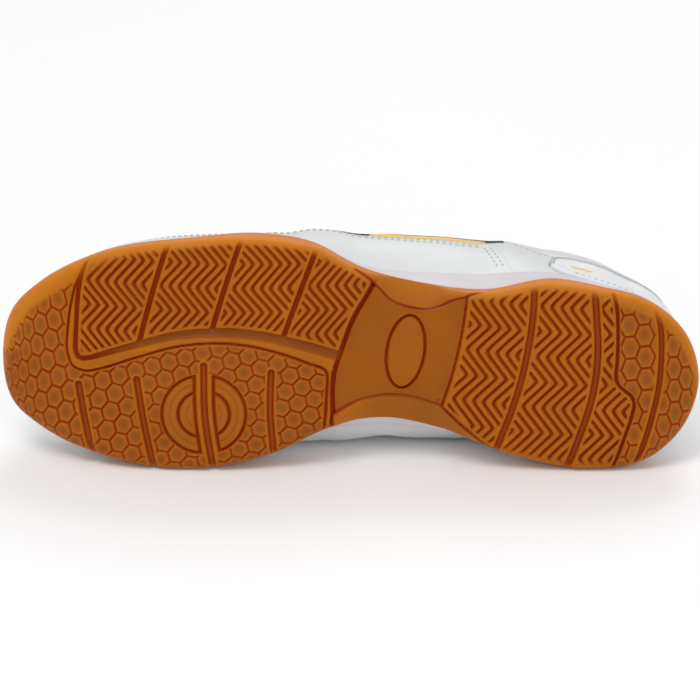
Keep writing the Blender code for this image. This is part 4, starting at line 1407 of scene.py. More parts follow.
    def honeycomb(self, mould: Mould, rear: Mask) -> tuple[Array, Array]:
        """The forefoot's honeycomb, which fans out and shortens towards the toe, and the heel's two.

        Args:
            mould: The points.
            rear: Where the heel's honeycombs lie.

        Returns:
            Distance from the nearest cell edge, and from the cell's middle as a share of its size.
        """
        x, y = mould.x, mould.y
        curled = x - self.toe_curl * np.maximum(self.toe_curl_x - x, 0.0) ** 3
        fanned = self.fan_middle + (y - self.fan_middle) * smooth(COMB_FAN, "size", x)
        found = self.cells(curled, fanned, FOREFOOT_COMB)
        for where, comb in ((rear, HEEL_COMB), (mould.past(HEEL_GROOVES[2].path), REAR_COMB)):
            found = tuple(np.where(where, new, old) for new, old in zip(self.cells(x, y, comb), found))
        return found

    def combs(self, mould: Mould, heel_rim: Array) -> tuple[Array, Array]:
        """Sink the toe slit, the inner slots, the pivot disc and the honeycombs.

        Args:
            mould: Where they are sunk.
            heel_rim: Distance from the border of the heel's honeycomb.

        Returns:
            How strongly the honeycomb's lines show, and the hollow of its cells.
        """
        toe_gap, toe_wide = mould.sink(TOE_SLIT)
        field = inside(mould.x, mould.y, np.concatenate([open_curve(TOE_SLIT.path, 2.0), self.comb_beyond]))
        rim = toe_gap - toe_wide / 2
        for slot in MEDIAL_SLOTS:
            gap, wide = mould.sink(slot)
            # Painted shade on the slots' floors, with the narrow groove shade held back there.
            for mark in (mould.floor, mould.calm):
                deepen(mark, 0.4 * trough(gap, wide - 1.0, 0.4))
            rim = np.minimum(rim, gap - wide / 2 - 0.5)
        rear = mould.past(HEEL_SLIT.path)
        rim = np.where(rear, heel_rim, np.minimum(rim, self.disc(mould, field)))
        line, middle = self.honeycomb(mould, rear)
        heel_margin, toe_margin = (np.interp(mould.y, *np.array(table).T)
                                   for table in (self.heel_margin, self.toe_margin))
        late = 0.55 + 0.2 * ease(-118.0, -140.0, mould.x)
        shown = (field | rear) * (1.0 - ease(0.0, 0.3, mould.climb - late)) * ease(0.4, 1.1, rim)
        shown = shown * ease(-0.8, 1.2, mould.inset - np.where(rear, heel_margin, toe_margin))
        lines = trough(line, self.comb_line.width, self.comb_line.soft) * shown
        hollow = np.clip(1.0 - (middle / self.dish_size) ** 2, 0, 1)
        cup = hollow * shown * (1.0 - trough(line, self.dish_rim, 0.4))
        deepen(mould.depth, self.comb_line.depth * lines + self.dish_depth * cup)
        return lines, cup

    def oval_ring(self, mould: Mould) -> Array:
        """Sink the waist's oval line.

        Args:
            mould: Where it is sunk.

        Returns:
            Distance from the oval's middle as a share of its own size.
        """
        turn = math.radians(self.oval_lean_deg)
        (long, short), (x, y) = self.oval_half, (mould.x - self.oval[0], mould.y - self.oval[1])
        a = (y * math.cos(turn) - x * math.sin(turn)) / long
        b = (x * math.cos(turn) + y * math.sin(turn)) / short
        size = np.hypot(a, b)
        slope = np.hypot(a / long, b / short) / np.maximum(size, TINY)
        mould.carve(np.abs(size - 1.0) / np.maximum(slope, TINY), self.oval_line)
        return size

    def folds(self, mould: Mould, waist: Waist) -> Array:
        """Sink the waist's border grooves, its creases and the speck on it.

        Args:
            mould: Where they are sunk.
            waist: The waist's lines.

        Returns:
            How strongly the creases show.
        """
        for gap, line in ((waist.front, self.front_line), (waist.rear, self.rear_line)):
            mould.carve(np.where(waist.flank, FAR, gap), line)
        mould.carve(np.hypot(mould.x - self.speck[0], mould.y - self.speck[1]), self.speck_line)
        fold = np.zeros(mould.x.shape)
        for gap, line in ((waist.outer, self.outer_fold), (waist.inner, self.inner_fold)):
            shown = trough(gap, line.width, line.soft) * (1.0 - ease(0.85, 1.0, mould.climb))
            deepen(fold, shown)
            deepen(mould.depth, line.depth * shown)
        return fold

    def relief(self, mould: Mould) -> Relief:
        """The whole pattern over the sole.

        Args:
            mould: The sole's points, with nothing sunk into them yet.

        Returns:
            Depth in millimetres and the marks for the finish.
        """
        waist = Waist.of(mould)
        edge, heel_rim = self.heel(mould, waist, self.forefoot(mould, waist))
        ends = np.hypot(mould.chevrons, np.maximum(self.slot_rim - edge, 0.0))
        mould.carve(ends, self.slot, 1.0 - 0.8 * ease(0.05, 0.6, mould.climb))
        lines, cup = self.combs(mould, heel_rim)
        size = self.oval_ring(mould)
        fold = self.folds(mould, waist)
        panel = waist.within * ease(0.0, 0.9, np.minimum(waist.front, waist.rear))
        crown = self.waist_crown * ease(0.0, 6.0, least(waist.front, waist.rear, waist.crease))
        sunk = panel * (self.waist_depth - crown) * (1.0 - ease(0.0, 1.0, mould.climb))
        added = waist.within & ((size < 1.3) | (waist.crease < 2.0))
        depth = np.where(added, mould.depth + sunk, np.maximum(mould.depth, sunk))
        # Painted shade: dark red in the sunk lines by their depth, held back on wide floors and up the lit
        # outer edge; honeycomb lines and waist folds get it in full.
        open_cell = self.comb_line.depth * lines < 0.05
        narrow = np.clip(mould.depth - self.dish_depth * cup * open_cell, 0, 1)
        lit = np.where(mould.outer_side, 1.0 - 0.6 * ease(0.0, 0.55, mould.climb), 1.0)
        cut = np.maximum(narrow * (1.0 - mould.calm) * lit, np.maximum(lines, fold))
        # Painted shade in the cells' hollows and on groove floors, fading up the rounded edge, with a plain
        # darker tint on the waist flanks.
        tint = 0.3 * waist.flank * ease(4.0, 12.0, mould.x) * (1.0 - ease(44.0, 54.0, mould.x))
        hollow_shade = np.clip(0.8 * cup + 0.9 * mould.floor * mould.open_edge + tint, 0, 1)
        return Relief(depth, cut, hollow_shade, panel * ~waist.flank * np.where(size < 1.0, 0.7, 1.0))


@dataclass(frozen=True)
class Outsole:
    """Gum cup: patterned tread, rounded edge, side wall and lip."""

    tread: Tread = Tread()
    tread_rings: int = 96
    edge_rings: int = 16
    wall_rings: int = 9
    shared_rings: int = 8
    cup_wall: float = 2.4
    plate: float = 4.6
    draft: float = 0.5
    lip: float = 0.7
    split_x: float = -3.0
    toe_round: float = 5.5

    @staticmethod
    def corner(columns: Columns) -> Array:
        """Distance from the middle line of the cup's inside corner."""
        return columns.reach - np.maximum(3.2, 0.65 * columns.of(SOLE_SECTIONS, "edge") + 0.6)

    def edge(self, columns: Columns) -> tuple[Array, Array, Array]:
        """Sizes of the rounded edge, which is larger at the toe.

        Args:
            columns: The half-planes.

        Returns:
            Its width, its height and the share of the toe.
        """
        toe = ease(-118.0, -147.0, columns.x)
        wide = columns.of(SOLE_SECTIONS, "edge") + self.toe_round * toe
        return wide, np.minimum(0.9 * wide, columns.of(SOLE_SECTIONS, "gum") - 3.0 + 1.5 * toe), toe

    def underside(self, columns: Columns) -> tuple[Array, Array, Array]:
        """Section from the middle line to the top of the rounded edge.

        The edge is a quarter of a superellipse.  At the toe the tread's own rings run on to it, so that
        the pattern there is as fine as on the flat.

        Args:
            columns: The half-planes.

        Returns:
            Distances from the middle line, heights, and the climb round the edge from 0 to 1.
        """
        edge, edge_high, toe = self.edge(columns)
        power = 2.0 - np.clip((columns.of(SOLE_SECTIONS, "edge") - 5.0) / 6.0, 0, 1) * (1 - toe)
        flat, early = columns.reach - edge, 0.55 * toe
        tread = (flat + edge * early) * np.linspace(0, 1, self.tread_rings)[None]
        first = np.arcsin(early ** (power / 2))
        late = first + (math.pi / 2 - first) * np.linspace(0, 1, self.edge_rings + 1)[None, 1:]
        phi = np.concatenate([np.arcsin(np.clip((tread - flat) / edge, 0, 1) ** (power / 2)), late], 1)
        d = np.concatenate([tread, flat + edge * np.sin(late) ** (2 / power)], 1)
        ground = tread_height(columns.x_at(np.minimum(d, flat)))
        rise = tread_height(columns.x) + edge_high - ground
        return d, ground + rise * (1 - np.cos(phi) ** (2 / power)), phi / (math.pi / 2)

    def cup(self, columns: Columns) -> tuple[Array, Array]:
        """Section from the top of the rounded edge up the wall, over the lip and down into the cup.

        Args:
            columns: The half-planes.

        Returns:
            Distances from the middle line, and heights.
        """
        reach, base = columns.reach, tread_height(columns.x)
        gum, edge_high = columns.of(SOLE_SECTIONS, "gum"), self.edge(columns)[1]
        t = np.linspace(0, 1, self.wall_rings + 1)[None, 1:]
        line = 0.35 * bell((1 - t) * (gum - edge_high) - 2.6, 0.45)
        turn = np.linspace(0, math.pi / 2, 6)[None, 1:]
        corner, top = self.corner(columns), base + gum
        inner = np.concatenate([reach - self.draft - self.cup_wall, corner, 0.5 * corner, 0 * corner], 1)
        plate = tread_height(columns.x_at(inner)) + self.plate
        d = (reach - self.draft * t - line, reach - self.draft - self.lip * (1 - np.cos(turn)), inner)
        z = (base + edge_high + (gum - self.lip - edge_high) * t, top - self.lip * (1 - np.sin(turn)), top,
             plate[:, 1:])
        return np.concatenate(d, 1), np.concatenate(z, 1)

    def build(self) -> list[Piece]:
        """Rings from the middle line out to the edge, up the wall and back into the cup.

        Returns:
            The forefoot, the heel and the wall.
        """
        columns = Columns(ring_places(440, 390, 300))
        outer, outer_z, climb = self.underside(columns)
        wall, wall_z = self.cup(columns)
        points = columns.at(np.concatenate([outer, wall], 1), np.concatenate([outer_z, wall_z], 1))
        rows = outer.shape[1]
        step = np.hypot(np.diff(outer, axis=1), np.diff(outer_z, axis=1))
        unrolled = np.concatenate([outer[:, :1], outer[:, :1] + np.cumsum(step, 1)], 1)
        found = self.tread.relief(Mould(columns.x_at(unrolled), columns.y_at(unrolled), columns.reach - outer,
                                        climb))
        points[:, :rows] -= grid_normals(points)[:, :rows] * found.depth[..., None]
        normals = grid_normals(points)
        above = [(0, 0), (0, wall.shape[1])]
        marks = {name: np.pad(getattr(found, name), above) for name in ("cut", "hollow_shade", "polish")}
        # Painted light: brighter orange up the rounded edge and wall, strongest on the outer side that faces
        # the lamps, weaker at the waist and on the inner side, and held back on the smooth panel.
        waist = bell(columns.x - 24.0, 22.0)
        lit_side = np.where(columns.lateral, 1.0 - 0.45 * waist, 0.35 * (1.0 - waist))
        risen = ease(0.0, 1.0, np.pad(climb, above, constant_values=1.0))
        marks["painted_glow"] = np.clip(lit_side * risen * (1 - 0.7 * marks["polish"]), 0, 1)
        ahead = columns.cx[:, 0] < self.split_x
        first, last = np.flatnonzero(ahead)[[0, -1]]
        around = np.concatenate([np.arange(last, len(ahead)), np.arange(0, first + 1)])
        below, wall_rows = slice(0, rows - self.shared_rings), slice(rows - self.shared_rings - 1, None)
        made = []
        for name, pick, span in (("outsole_forefoot", np.arange(first, last + 1), below),
                                 ("outsole_heel", around, below),
                                 ("outsole_wall", np.arange(len(ahead)), wall_rows)):
            patch = points[pick][:, span]
            quads = grid_quads(*patch.shape[:2], closed=len(pick) == len(ahead))
            made.append(shaded_mesh(name, patch, quads, GUM, {k: v[pick][:, span] for k, v in marks.items()},
                                    normals=normals[pick][:, span], stands=("outsole", "gum_rubber")))
        return made


@dataclass(frozen=True)
class Midsole:
    """Foam wedge between the gum cup and the upper."""

    cup: Outsole = Outsole()
    gap: float = 0.3
    inset: float = 0.9
    rows: int = 26

    def build(self) -> list[Piece]:
        """Rings over the seat of the upper, down the side with one moulded line, and into the cup.

        Returns:
            The wedge.
        """
        columns = Columns(ring_places(260, 150, 140))
        rim = columns.reach + columns.of(SOLE_SECTIONS, "ledge")
        foot = columns.reach - self.inset
        seat = tread_height(columns.x) + columns.of(SOLE_SECTIONS, "gum") + self.gap
        top = smooth(SOLE_SECTIONS, "top", columns.x_at(rim))
        t = np.linspace(0, 1, self.rows)[None]
        tall = top - seat
        line = 0.45 * bell((t - 0.55) * tall, 0.5) * np.clip(tall / 8.0, 0, 1)
        above, below = (1 - np.sqrt(np.clip(run / reach, 0, 1))
                        for run, reach in ((t * tall, 1.1), ((1 - t) * tall, 0.8)))
        side = rim + (foot - rim) * t + 0.5 * np.sin(math.pi * t) - line - 0.8 * above - 0.6 * below
        inner = np.concatenate([0 * rim, 0.55 * rim, rim - 6.0], 1)
        corner = self.cup.corner(columns) - 0.4
        under = np.concatenate([foot - self.cup.cup_wall, corner, 0.5 * corner, 0 * corner], 1)
        plate = tread_height(columns.x_at(under)) + self.cup.plate + self.gap
        heights = (smooth(SOLE_SECTIONS, "top", columns.x_at(inner)), top - tall * t, seat, plate[:, 1:])
        points = columns.at(np.concatenate([inner, side, under], 1), np.concatenate(heights, 1))
        return [shaded_mesh("midsole_foam", points, None, FOAM, stands=("midsole", "white_foam"))]


@dataclass(frozen=True)
class UpperSkin:
    """Outer surface of the upper, as places round the shoe and lengths up from the sole."""

    tuck: float = 1.4
    samples: int = 160
    pad_start: float = 62.0
    pad_full: float = 82.0
    pad_band: float = 22.0
    cap_step: float = 0.8
    seam_step: float = 0.5
    seam_middle: float = 24.0
    quarter_slant: float = 0.36
    rests: tuple[Rest, ...] = (Rest(45.0, 26.0, 26.0, 13.0, 1.35), Rest(-68.0, 15.5, 22.0, 9.0, 0.6))
    cap: tuple[Station, ...] = stations((-97.0, 27.0), (-78.0, 21.0), (-58.0, 13.5), (-40.0, 7.5),
                                        (-24.0, 2.0), (-16.0, -3.0))
    seam: tuple[Station, ...] = stations((-40.0, 19.0), (-5.0, 23.5), (25.0, 25.5), (55.0, 25.0),
                                         (75.0, 24.0))
    creases: tuple[Crease, ...] = (
        Crease(Side.LATERAL, -57.0, -0.16, 26.0, 70.0, 0.9, 2.6),
        Crease(Side.MEDIAL, -56.0, -0.12, 24.0, 70.0, 0.9, 2.6),
        Crease(Side.LATERAL, -47.0, -0.05, 22.0, 66.0, 0.7, 2.2),
        Crease(Side.MEDIAL, -46.0, -0.08, 22.0, 66.0, 0.8, 2.3),
        Crease(Side.MEDIAL, -34.0, 0.12, 12.0, 44.0, 0.6, 2.4),
        Crease(Side.MEDIAL, 14.0, 1.9, 4.0, 17.0, 0.4, 3.2),
        Crease(Side.MEDIAL, 32.0, 2.3, 5.0, 16.0, 0.35, 3.0),
        Crease(Side.LATERAL, 74.0, 0.7, 8.0, 30.0, 0.5, 3.0),
    )

    def profile(self, columns: Columns) -> tuple[Array, Array, Array]:
        """Section of the last in each half-plane.

        From the feather line a quarter sine leads out to the widest line, and from there a
        superellipse over to the ridge, stopped at the throat's edge or the topline.

        Args:
            columns: The half-planes.

        Returns:
            Length along each profile, distance from the middle line, and height.
        """
        wide = columns.reach + columns.of(LAST_SECTIONS, "bulge")
        high = columns.of(LAST_SECTIONS, "high")
        ridge, power = (smooth(LAST_SECTIONS, name, columns.cx) for name in ("ridge", "power"))
        foot = columns.feather()
        foot_z = smooth(SOLE_SECTIONS, "top", columns.x_at(foot)) + UPPER_SEAT
        line = smooth(TOPLINE, "size", columns.x)
        by_throat = np.arccos(np.clip(smooth(THROAT, "size", columns.cx) / wide, 0, 1) ** (power / 2))
        by_line = np.arcsin(np.clip((line - high) / (ridge - high), 0, 1) ** (power / 2))
        rim = np.minimum(by_throat, by_line)
        t = np.linspace(0, 1, self.samples // 4, endpoint=False)[None]
        turn = rim * np.linspace(0, 1, self.samples)[None]
        over = wide * np.clip(np.cos(turn), 0, 1) ** (2 / power)
        over[rim[:, 0] > math.pi / 2 - 1e-6, -1] = 0.0
        d = np.concatenate([foot - 0.4, foot + (wide - foot) * np.sin(t * math.pi / 2), over], 1)
        z = np.concatenate([foot_z - self.tuck, foot_z + (high - foot_z) * t,
                            high + (ridge - high) * np.sin(turn) ** (2 / power)], 1)
        run = np.concatenate([0 * foot, np.cumsum(np.hypot(np.diff(d), np.diff(z)), 1)], 1)
        return run - run[:, 1:2], d, z

    def length(self, w: Array) -> Array:
        """Length of the profile from the feather line to the rim, one place a row."""
        return self.profile(Columns(w))[0][:, -1:]

    def bare(self, w: Array, arcs: Array) -> Array:
        """Points of the last itself, found on all the profiles laid end to end.

        Args:
            w: Places round the shoe.
            arcs: Lengths up from the sole, one row a place.

        Returns:
            The points.
        """
        columns = Columns(w)
        run, d, z = self.profile(columns)
        lift = np.arange(len(run))[:, None] * (run.max() + 20.0)
        wanted = np.clip(arcs, run[:, :1], run[:, -1:]) + lift
        radius, height = (np.interp(wanted, (run + lift).ravel(), track.ravel()) for track in (d, z))
        return columns.at(radius, height)

    def surface(self, w: Array, arcs: Array, plain: bool = False) -> tuple[Array, Array]:
        """Points of the finished skin and the directions out of it.

        Args:
            w: Places round the shoe.
            arcs: Lengths up from the sole, one row a place.
            plain: Leave out panel steps, padding and creases.

        Returns:
            Points and outward directions.
        """
        w = np.asarray(w, float)
        points = self.bare(w, arcs)
        around = self.bare(w + 0.002, arcs) - self.bare(w - 0.002, arcs)
        normal = np.cross(self.bare(w, arcs + 0.3) - self.bare(w, arcs - 0.3), around)
        whole = np.linalg.norm(normal, axis=2, keepdims=True) > 1e-6
        normal = np.where(whole, unit(normal), [0.0, 0.0, 1.0])
        if plain:
            return points, normal
        return points + normal * self.raised(w, arcs, points[..., 0])[..., None], normal

    def cap_top(self, w: Array) -> Array:
        """How far up from the sole the toe cap reaches, one place a row."""
        round_toe = np.clip(np.minimum(w - 1, 2 - w), 0, 0.5)[:, None]
        return smooth(self.cap, "size", Columns(w).cx) + 3.0 * np.sin(math.pi * round_toe)

    def seam_line(self, x: Value) -> Array:
        """How far up from the sole the quarter's seam runs."""
        return smooth(self.seam, "size", x)

    def raised(self, w: Array, arcs: Array, x: Array) -> Array:
        """Height of panel steps, padding and creases over the last.

        Args:
            w: Places round the shoe.
            arcs: Lengths up from the sole, one row a place.
            x: Places along the shoe of the same points.

        Returns:
            Heights in millimetres.
        """
        length, cap = self.length(w), self.cap_top(w)
        toe_cap = self.cap_step * (1 - ease(-0.5, 0.5, arcs - cap)) * ease(-1.0, 2.0, cap)
        quarter = 1 - ease(60.0, 61.0, x - self.quarter_slant * (self.seam_middle - arcs))
        below = 1 - ease(-0.45, 0.45, arcs - self.seam_line(x))
        foxing = self.seam_step * below * quarter * ease(-36.0, -34.6, x)
        down = np.clip((length - arcs) / self.pad_band, 0, 1)
        swell = 1.5 * np.sin(math.pi * down) ** 0.8 - 0.5 * bell((down - 1) * self.pad_band, 1.0)
        lift = toe_cap + foxing + ease(self.pad_start + 4, self.pad_full + 14, x) * swell
        for mark in self.creases + self.rests:
            lift = lift + mark.lift(w, arcs, x)
        slack = np.sin(0.071 * x + 0.9) * np.sin(0.13 * arcs + 0.05 * x)
        slack = slack + 0.6 * np.sin(0.17 * x - 0.19 * arcs)
        return lift + 0.16 * slack * ease(3.0, 12.0, arcs) * ease(3.0, 12.0, length - arcs)

    def eyelet(self, side: Side, x: float, inset: float = 9.0) -> tuple[Array, Array]:
        """Middle of an eyelet, and the direction out of the upper there.

        Args:
            side: Which side of the throat.
            x: Its station.
            inset: How far it lies below the throat's edge.

        Returns:
            The point and the direction.
        """
        w = side_place(side, [x])
        points, normals = self.surface(w, self.length(w) - inset, plain=True)
        return points[0, 0], normals[0, 0]

    def eyelets(self) -> Array:
        """Middles of all the eyelets."""
        return np.array([self.eyelet(side, x)[0] for side in Side for x in EYELETS])


SKIN = UpperSkin()


def foot_middle(points: Array) -> Array:
    """A point of the foot's middle line near each point, for telling outward from inward."""
    x = np.clip(points[..., 0], TOE_CENTRE[0], HEEL_CENTRE[0])
    return np.stack([x, spine_y(x), 0 * x + 42.0], -1)


def near_any(points: Array, quads: Faces, middles: Array, radius: float) -> Mask:
    """Faces whose middle lies within a radius of any of some points."""
    away = points.reshape(-1, 3)[quads].mean(1)[:, None] - middles[None]
    return (np.linalg.norm(away, axis=2) <= radius).any(1)


@dataclass(frozen=True)
class Upper:
    """Hollow upper: the outer skin, the rolled collar and the lining."""

    wall: float = 2.0
    collar_wall: float = 7.0
    rows: int = 104
    lining_rows: int = 56
    skin_hole: float = 2.6
    lining_hole: float = 3.2

    def thickness(self, w: Array, arcs: Array, x: Array) -> Array:
        """Wall thickness, swelling to the padded collar towards the rim.

        Args:
            w: Places round the shoe.
            arcs: Lengths up from the sole, one row a place.
            x: Places along the shoe of the same points.

        Returns:
            Thickness in millimetres.
        """
        pad = ease(SKIN.pad_start, SKIN.pad_full, x)
        near = ease(SKIN.pad_band, 0.3 * SKIN.pad_band, SKIN.length(w) - arcs)
        return self.wall + (self.collar_wall - self.wall) * pad * near

    def rim_roll(self, w: Array) -> tuple[Array, Array]:
        """How far below the rim the roll starts, and the thickness of the wall there.

        Args:
            w: Places round the shoe.

        Returns:
            The drop, which is nothing where the upper is closed over the toe, and the thickness.
        """
        length = SKIN.length(w)
        points = SKIN.bare(w, length)
        thick = self.thickness(w, length, points[..., 0])
        closed = points[..., 2] > smooth(LAST_SECTIONS, "ridge", points[..., 0]) - 0.05
        return 0.42 * np.where(closed, 0.0, thick), thick

    @staticmethod
    def roll(w: Array, top: Array, rim: Array, out: Array, turn: Array, size: tuple[Array, Array]) -> Array:
        """Part of the rounded rim: an ellipse from the outer skin over to the lining.

        Args:
            w: Places round the shoe.
            top: Length up from the sole at which the roll starts.
            rim: Points of the skin there.
            out: Directions out of the skin there.
            turn: Angles round the roll.
            size: Half its width and its height.

        Returns:
            The points, one column a row.
        """
        up = unit(rim - SKIN.bare(w, top - 1.0))
        half, lift = (values[..., None] for values in size)
        angle = turn[None, :, None]
        return rim - out * half * (1 - np.cos(angle)) + up * lift * np.sin(angle)

    def build(self) -> list[Piece]:
        """The skin from the sole to the rim, with the outer part of the roll.

        Returns:
            The skin and the lining.
        """
        w = ring_places(240, 140, 130)
        drop, thick = self.rim_roll(w)
        top = SKIN.length(w) - drop
        arcs = -SKIN.tuck + (top + SKIN.tuck) * np.linspace(0, 1, self.rows)[None]
        points, normal = SKIN.surface(w, arcs)
        turn = np.linspace(0, math.pi / 2, 7)[1:]
        roll = self.roll(w, top, points[:, -1:], normal[:, -1:], turn, (0.5 * thick, drop))
        net, seam = self.marks(w, arcs, points[..., 0])
        points = np.concatenate([points, roll], 1)
        above = [(0, 0), (0, turn.size)]
        quads = grid_quads(*points.shape[:2], closed=True)
        quads = quads[~near_any(points, quads, SKIN.eyelets(), self.skin_hole)]
        x, y, z = (points[..., k] for k in range(3))
        off = y - spine_y(x)
        uv = np.stack([x, off + np.sign(off) * (self.crest(x) - z)], 2)
        skin = shaded_mesh("upper_skin", points, quads, LEATHER,
                           {"net": np.pad(net, above), "seam": np.pad(seam, above)}, uv,
                           middle=foot_middle(points), stands=("upper", "white_leather"))
        return [skin, self.lining()]

    @staticmethod
    def crest(x: Array) -> Array:
        """Height of the upper's middle line: the last's ridge, and ahead of it the toe's own section.

        Args:
            x: Places along the shoe.

        Returns:
            Heights in millimetres.
        """
        _, out, high = SKIN.profile(Columns(np.array([1.5])))
        back = slice(None, -SKIN.samples - 1, -1)
        toe = np.interp(TOE_CENTRE[0] - x, out[0, back], high[0, back])
        return np.where(x < TOE_CENTRE[0], toe, smooth(LAST_SECTIONS, "ridge", x))

    @staticmethod
    def run_round(w: Array) -> Array:
        """Length round the shoe at each place, in millimetres, for patterns that follow it."""
        columns = Columns(w)
        return run_along(np.concatenate([columns.x, columns.y_at(columns.reach)], 1))

    def marks(self, w: Array, arcs: Array, x: Array) -> tuple[Array, Array]:
        """Where the net shows, and the dark line along the steps of its panels.

        Args:
            w: Places round the shoe.
            arcs: Lengths up from the sole, one row a place.
            x: Places along the shoe of the same points.

        Returns:
            Shares of the net and of the line.
        """
        cap, length = SKIN.cap_top(w), SKIN.length(w)
        leaned = x + 0.25 * (arcs - SKIN.seam_middle)
        above = ease(0.2, 0.9, arcs - cap)
        ahead = 1 - ease(-36.6, -35.8, leaned)
        net = above * ahead * ease(-0.2, 0.4, length - arcs - 2.0 + 40.0 * (x < THROAT[0].x))
        lines = bell(arcs - cap - 0.45, 0.4) * (cap > 1.0) * ahead
        lines = lines + bell(arcs - SKIN.seam_line(x) - 0.4, 0.35) * (x > -35.0) * (x < 62.0)
        lines = lines + bell(leaned + 36.0, 0.45) * above
        lines = lines + bell(length - arcs - SKIN.pad_band, 0.6) * ease(60.0, 74.0, x)
        return net, np.clip(0.8 * lines, 0, 1)

    def lining(self) -> Piece:
        """Soft inner face, from the top of the roll down to the insole.

        Returns:
            The lining.
        """
        w = ring_places(150, 90, 90)
        drop, thick = self.rim_roll(w)
        top = SKIN.length(w) - drop
        arcs = 0.4 + (top - 0.4) * np.linspace(1, 0, self.lining_rows)[None]
        points, normal = SKIN.surface(w, arcs, plain=True)
        padding = SKIN.surface(w, arcs)[0] - points
        points = points + padding * ease(9.0, 1.0, top - arcs)[..., None]
        inner = points - normal * self.thickness(w, arcs, points[..., 0])[..., None]
        turn = np.linspace(0.43 * math.pi, math.pi, 8)[:-1]
        size = (0.5 * thick, np.maximum(drop - 0.08, 0.0))
        sheet = np.concatenate([self.roll(w, top, points[:, :1], normal[:, :1], turn, size), inner], 1)
        quads = grid_quads(*sheet.shape[:2], closed=True)
        quads = quads[~near_any(sheet, quads, SKIN.eyelets(), self.lining_hole)]
        run = np.concatenate([top + size[0] * (math.pi - turn), arcs], 1)
        uv = np.stack([np.broadcast_to(self.run_round(w)[:, None], run.shape), run], 2)
        piece = shaded_mesh("collar_lining", sheet, quads, LINING_CLOTH, None, uv,
                            middle=2 * sheet - foot_middle(sheet), stands=("upper", "white_textile"))
        return piece


def pillow(name: str, w: Array, arcs: Array, edge: Array, thickness: float, finish: Finish,
           round_edge: float = 1.0, holes: Array | None = None, radius: float = 2.3,
           stands: tuple[str, str] | None = None) -> Piece:
    """A closed panel that lies on the upper, rounded along its border.

    The top stands over the skin by a quarter circle of the distance from the border, and the
    underside sinks a little into it, so that the two meet all round.

    Args:
        name: The piece's name.
        w: Places round the shoe, one for each row or for each point.
        arcs: Lengths up from the sole.
        edge: Distance of each point from the border.
        thickness: Height over the skin.
        finish: What it is made of.
        round_edge: Radius of the rounded border.
        holes: Middles of round holes through it.
        radius: Radius of the holes.
        stands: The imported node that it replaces, and its material slot.

    Returns:
        The panel.
    """
    sunk = 0.3
    found = SKIN.surface(w.ravel(), arcs.reshape(-1, 1) if w.ndim == 2 else arcs)
    skin, normal = (values.reshape(*arcs.shape, 3) for values in found)
    swell = dome(edge / round_edge)[..., None]
    points = np.concatenate([(skin + normal * high * swell).reshape(-1, 3) for high in (thickness, -sunk)])
    count = arcs.size
    upper = grid_quads(*arcs.shape)
    walls = np.empty((0, 4), int)
    if holes is not None:
        gone = near_any(points, upper, holes, radius + 0.4)
        sides = np.stack([upper[gone], np.roll(upper[gone], -1, 1)], 2).reshape(-1, 2)
        _, back, counts = np.unique(np.sort(sides, 1), axis=0, return_inverse=True, return_counts=True)
        rim = sides[counts[back.reshape(-1)] == 1]
        walls = np.concatenate([rim, rim[:, ::-1] + count], 1)
        upper = upper[~gone]
        corner = np.unique(rim)
        along = normal.reshape(-1, 3)[corner]
        for start in (0, count):
            place = points[corner + start]
            nearest = holes[np.linalg.norm(place[:, None] - holes[None], axis=2).argmin(1)]
            high = ((place - nearest) * along).sum(1, keepdims=True) * along
            points[corner + start] = nearest + high + unit(place - nearest - high) * radius
    quads = np.concatenate([upper, upper[:, ::-1] + count, walls])
    return shaded_mesh(name, points, quads, finish, stands=stands)


def strip(name: str, w: Array, centre: Array, half: Array, rows: int, thickness: float, finish: Finish,
          round_edge: float) -> Piece:
    """A narrow panel along a line on the upper, let into the skin at both its ends.

    Args:
        name: The piece's name.
        w: Places round the shoe, along the line.
        centre: Lengths up from the sole, along the line.
        half: Half the width, along the line.
        rows: Points across it.
        thickness: Height over the skin.
        finish: What it is made of.
        round_edge: Radius of the rounded border.

    Returns:
        The panel.
    """
    across = np.linspace(-1, 1, rows)[None] * half[:, None]
    edge = half[:, None] - np.abs(across)
    edge[[0, -1]] = 0.0
    return pillow(name, w, centre[:, None] + across, edge, thickness, finish, round_edge)


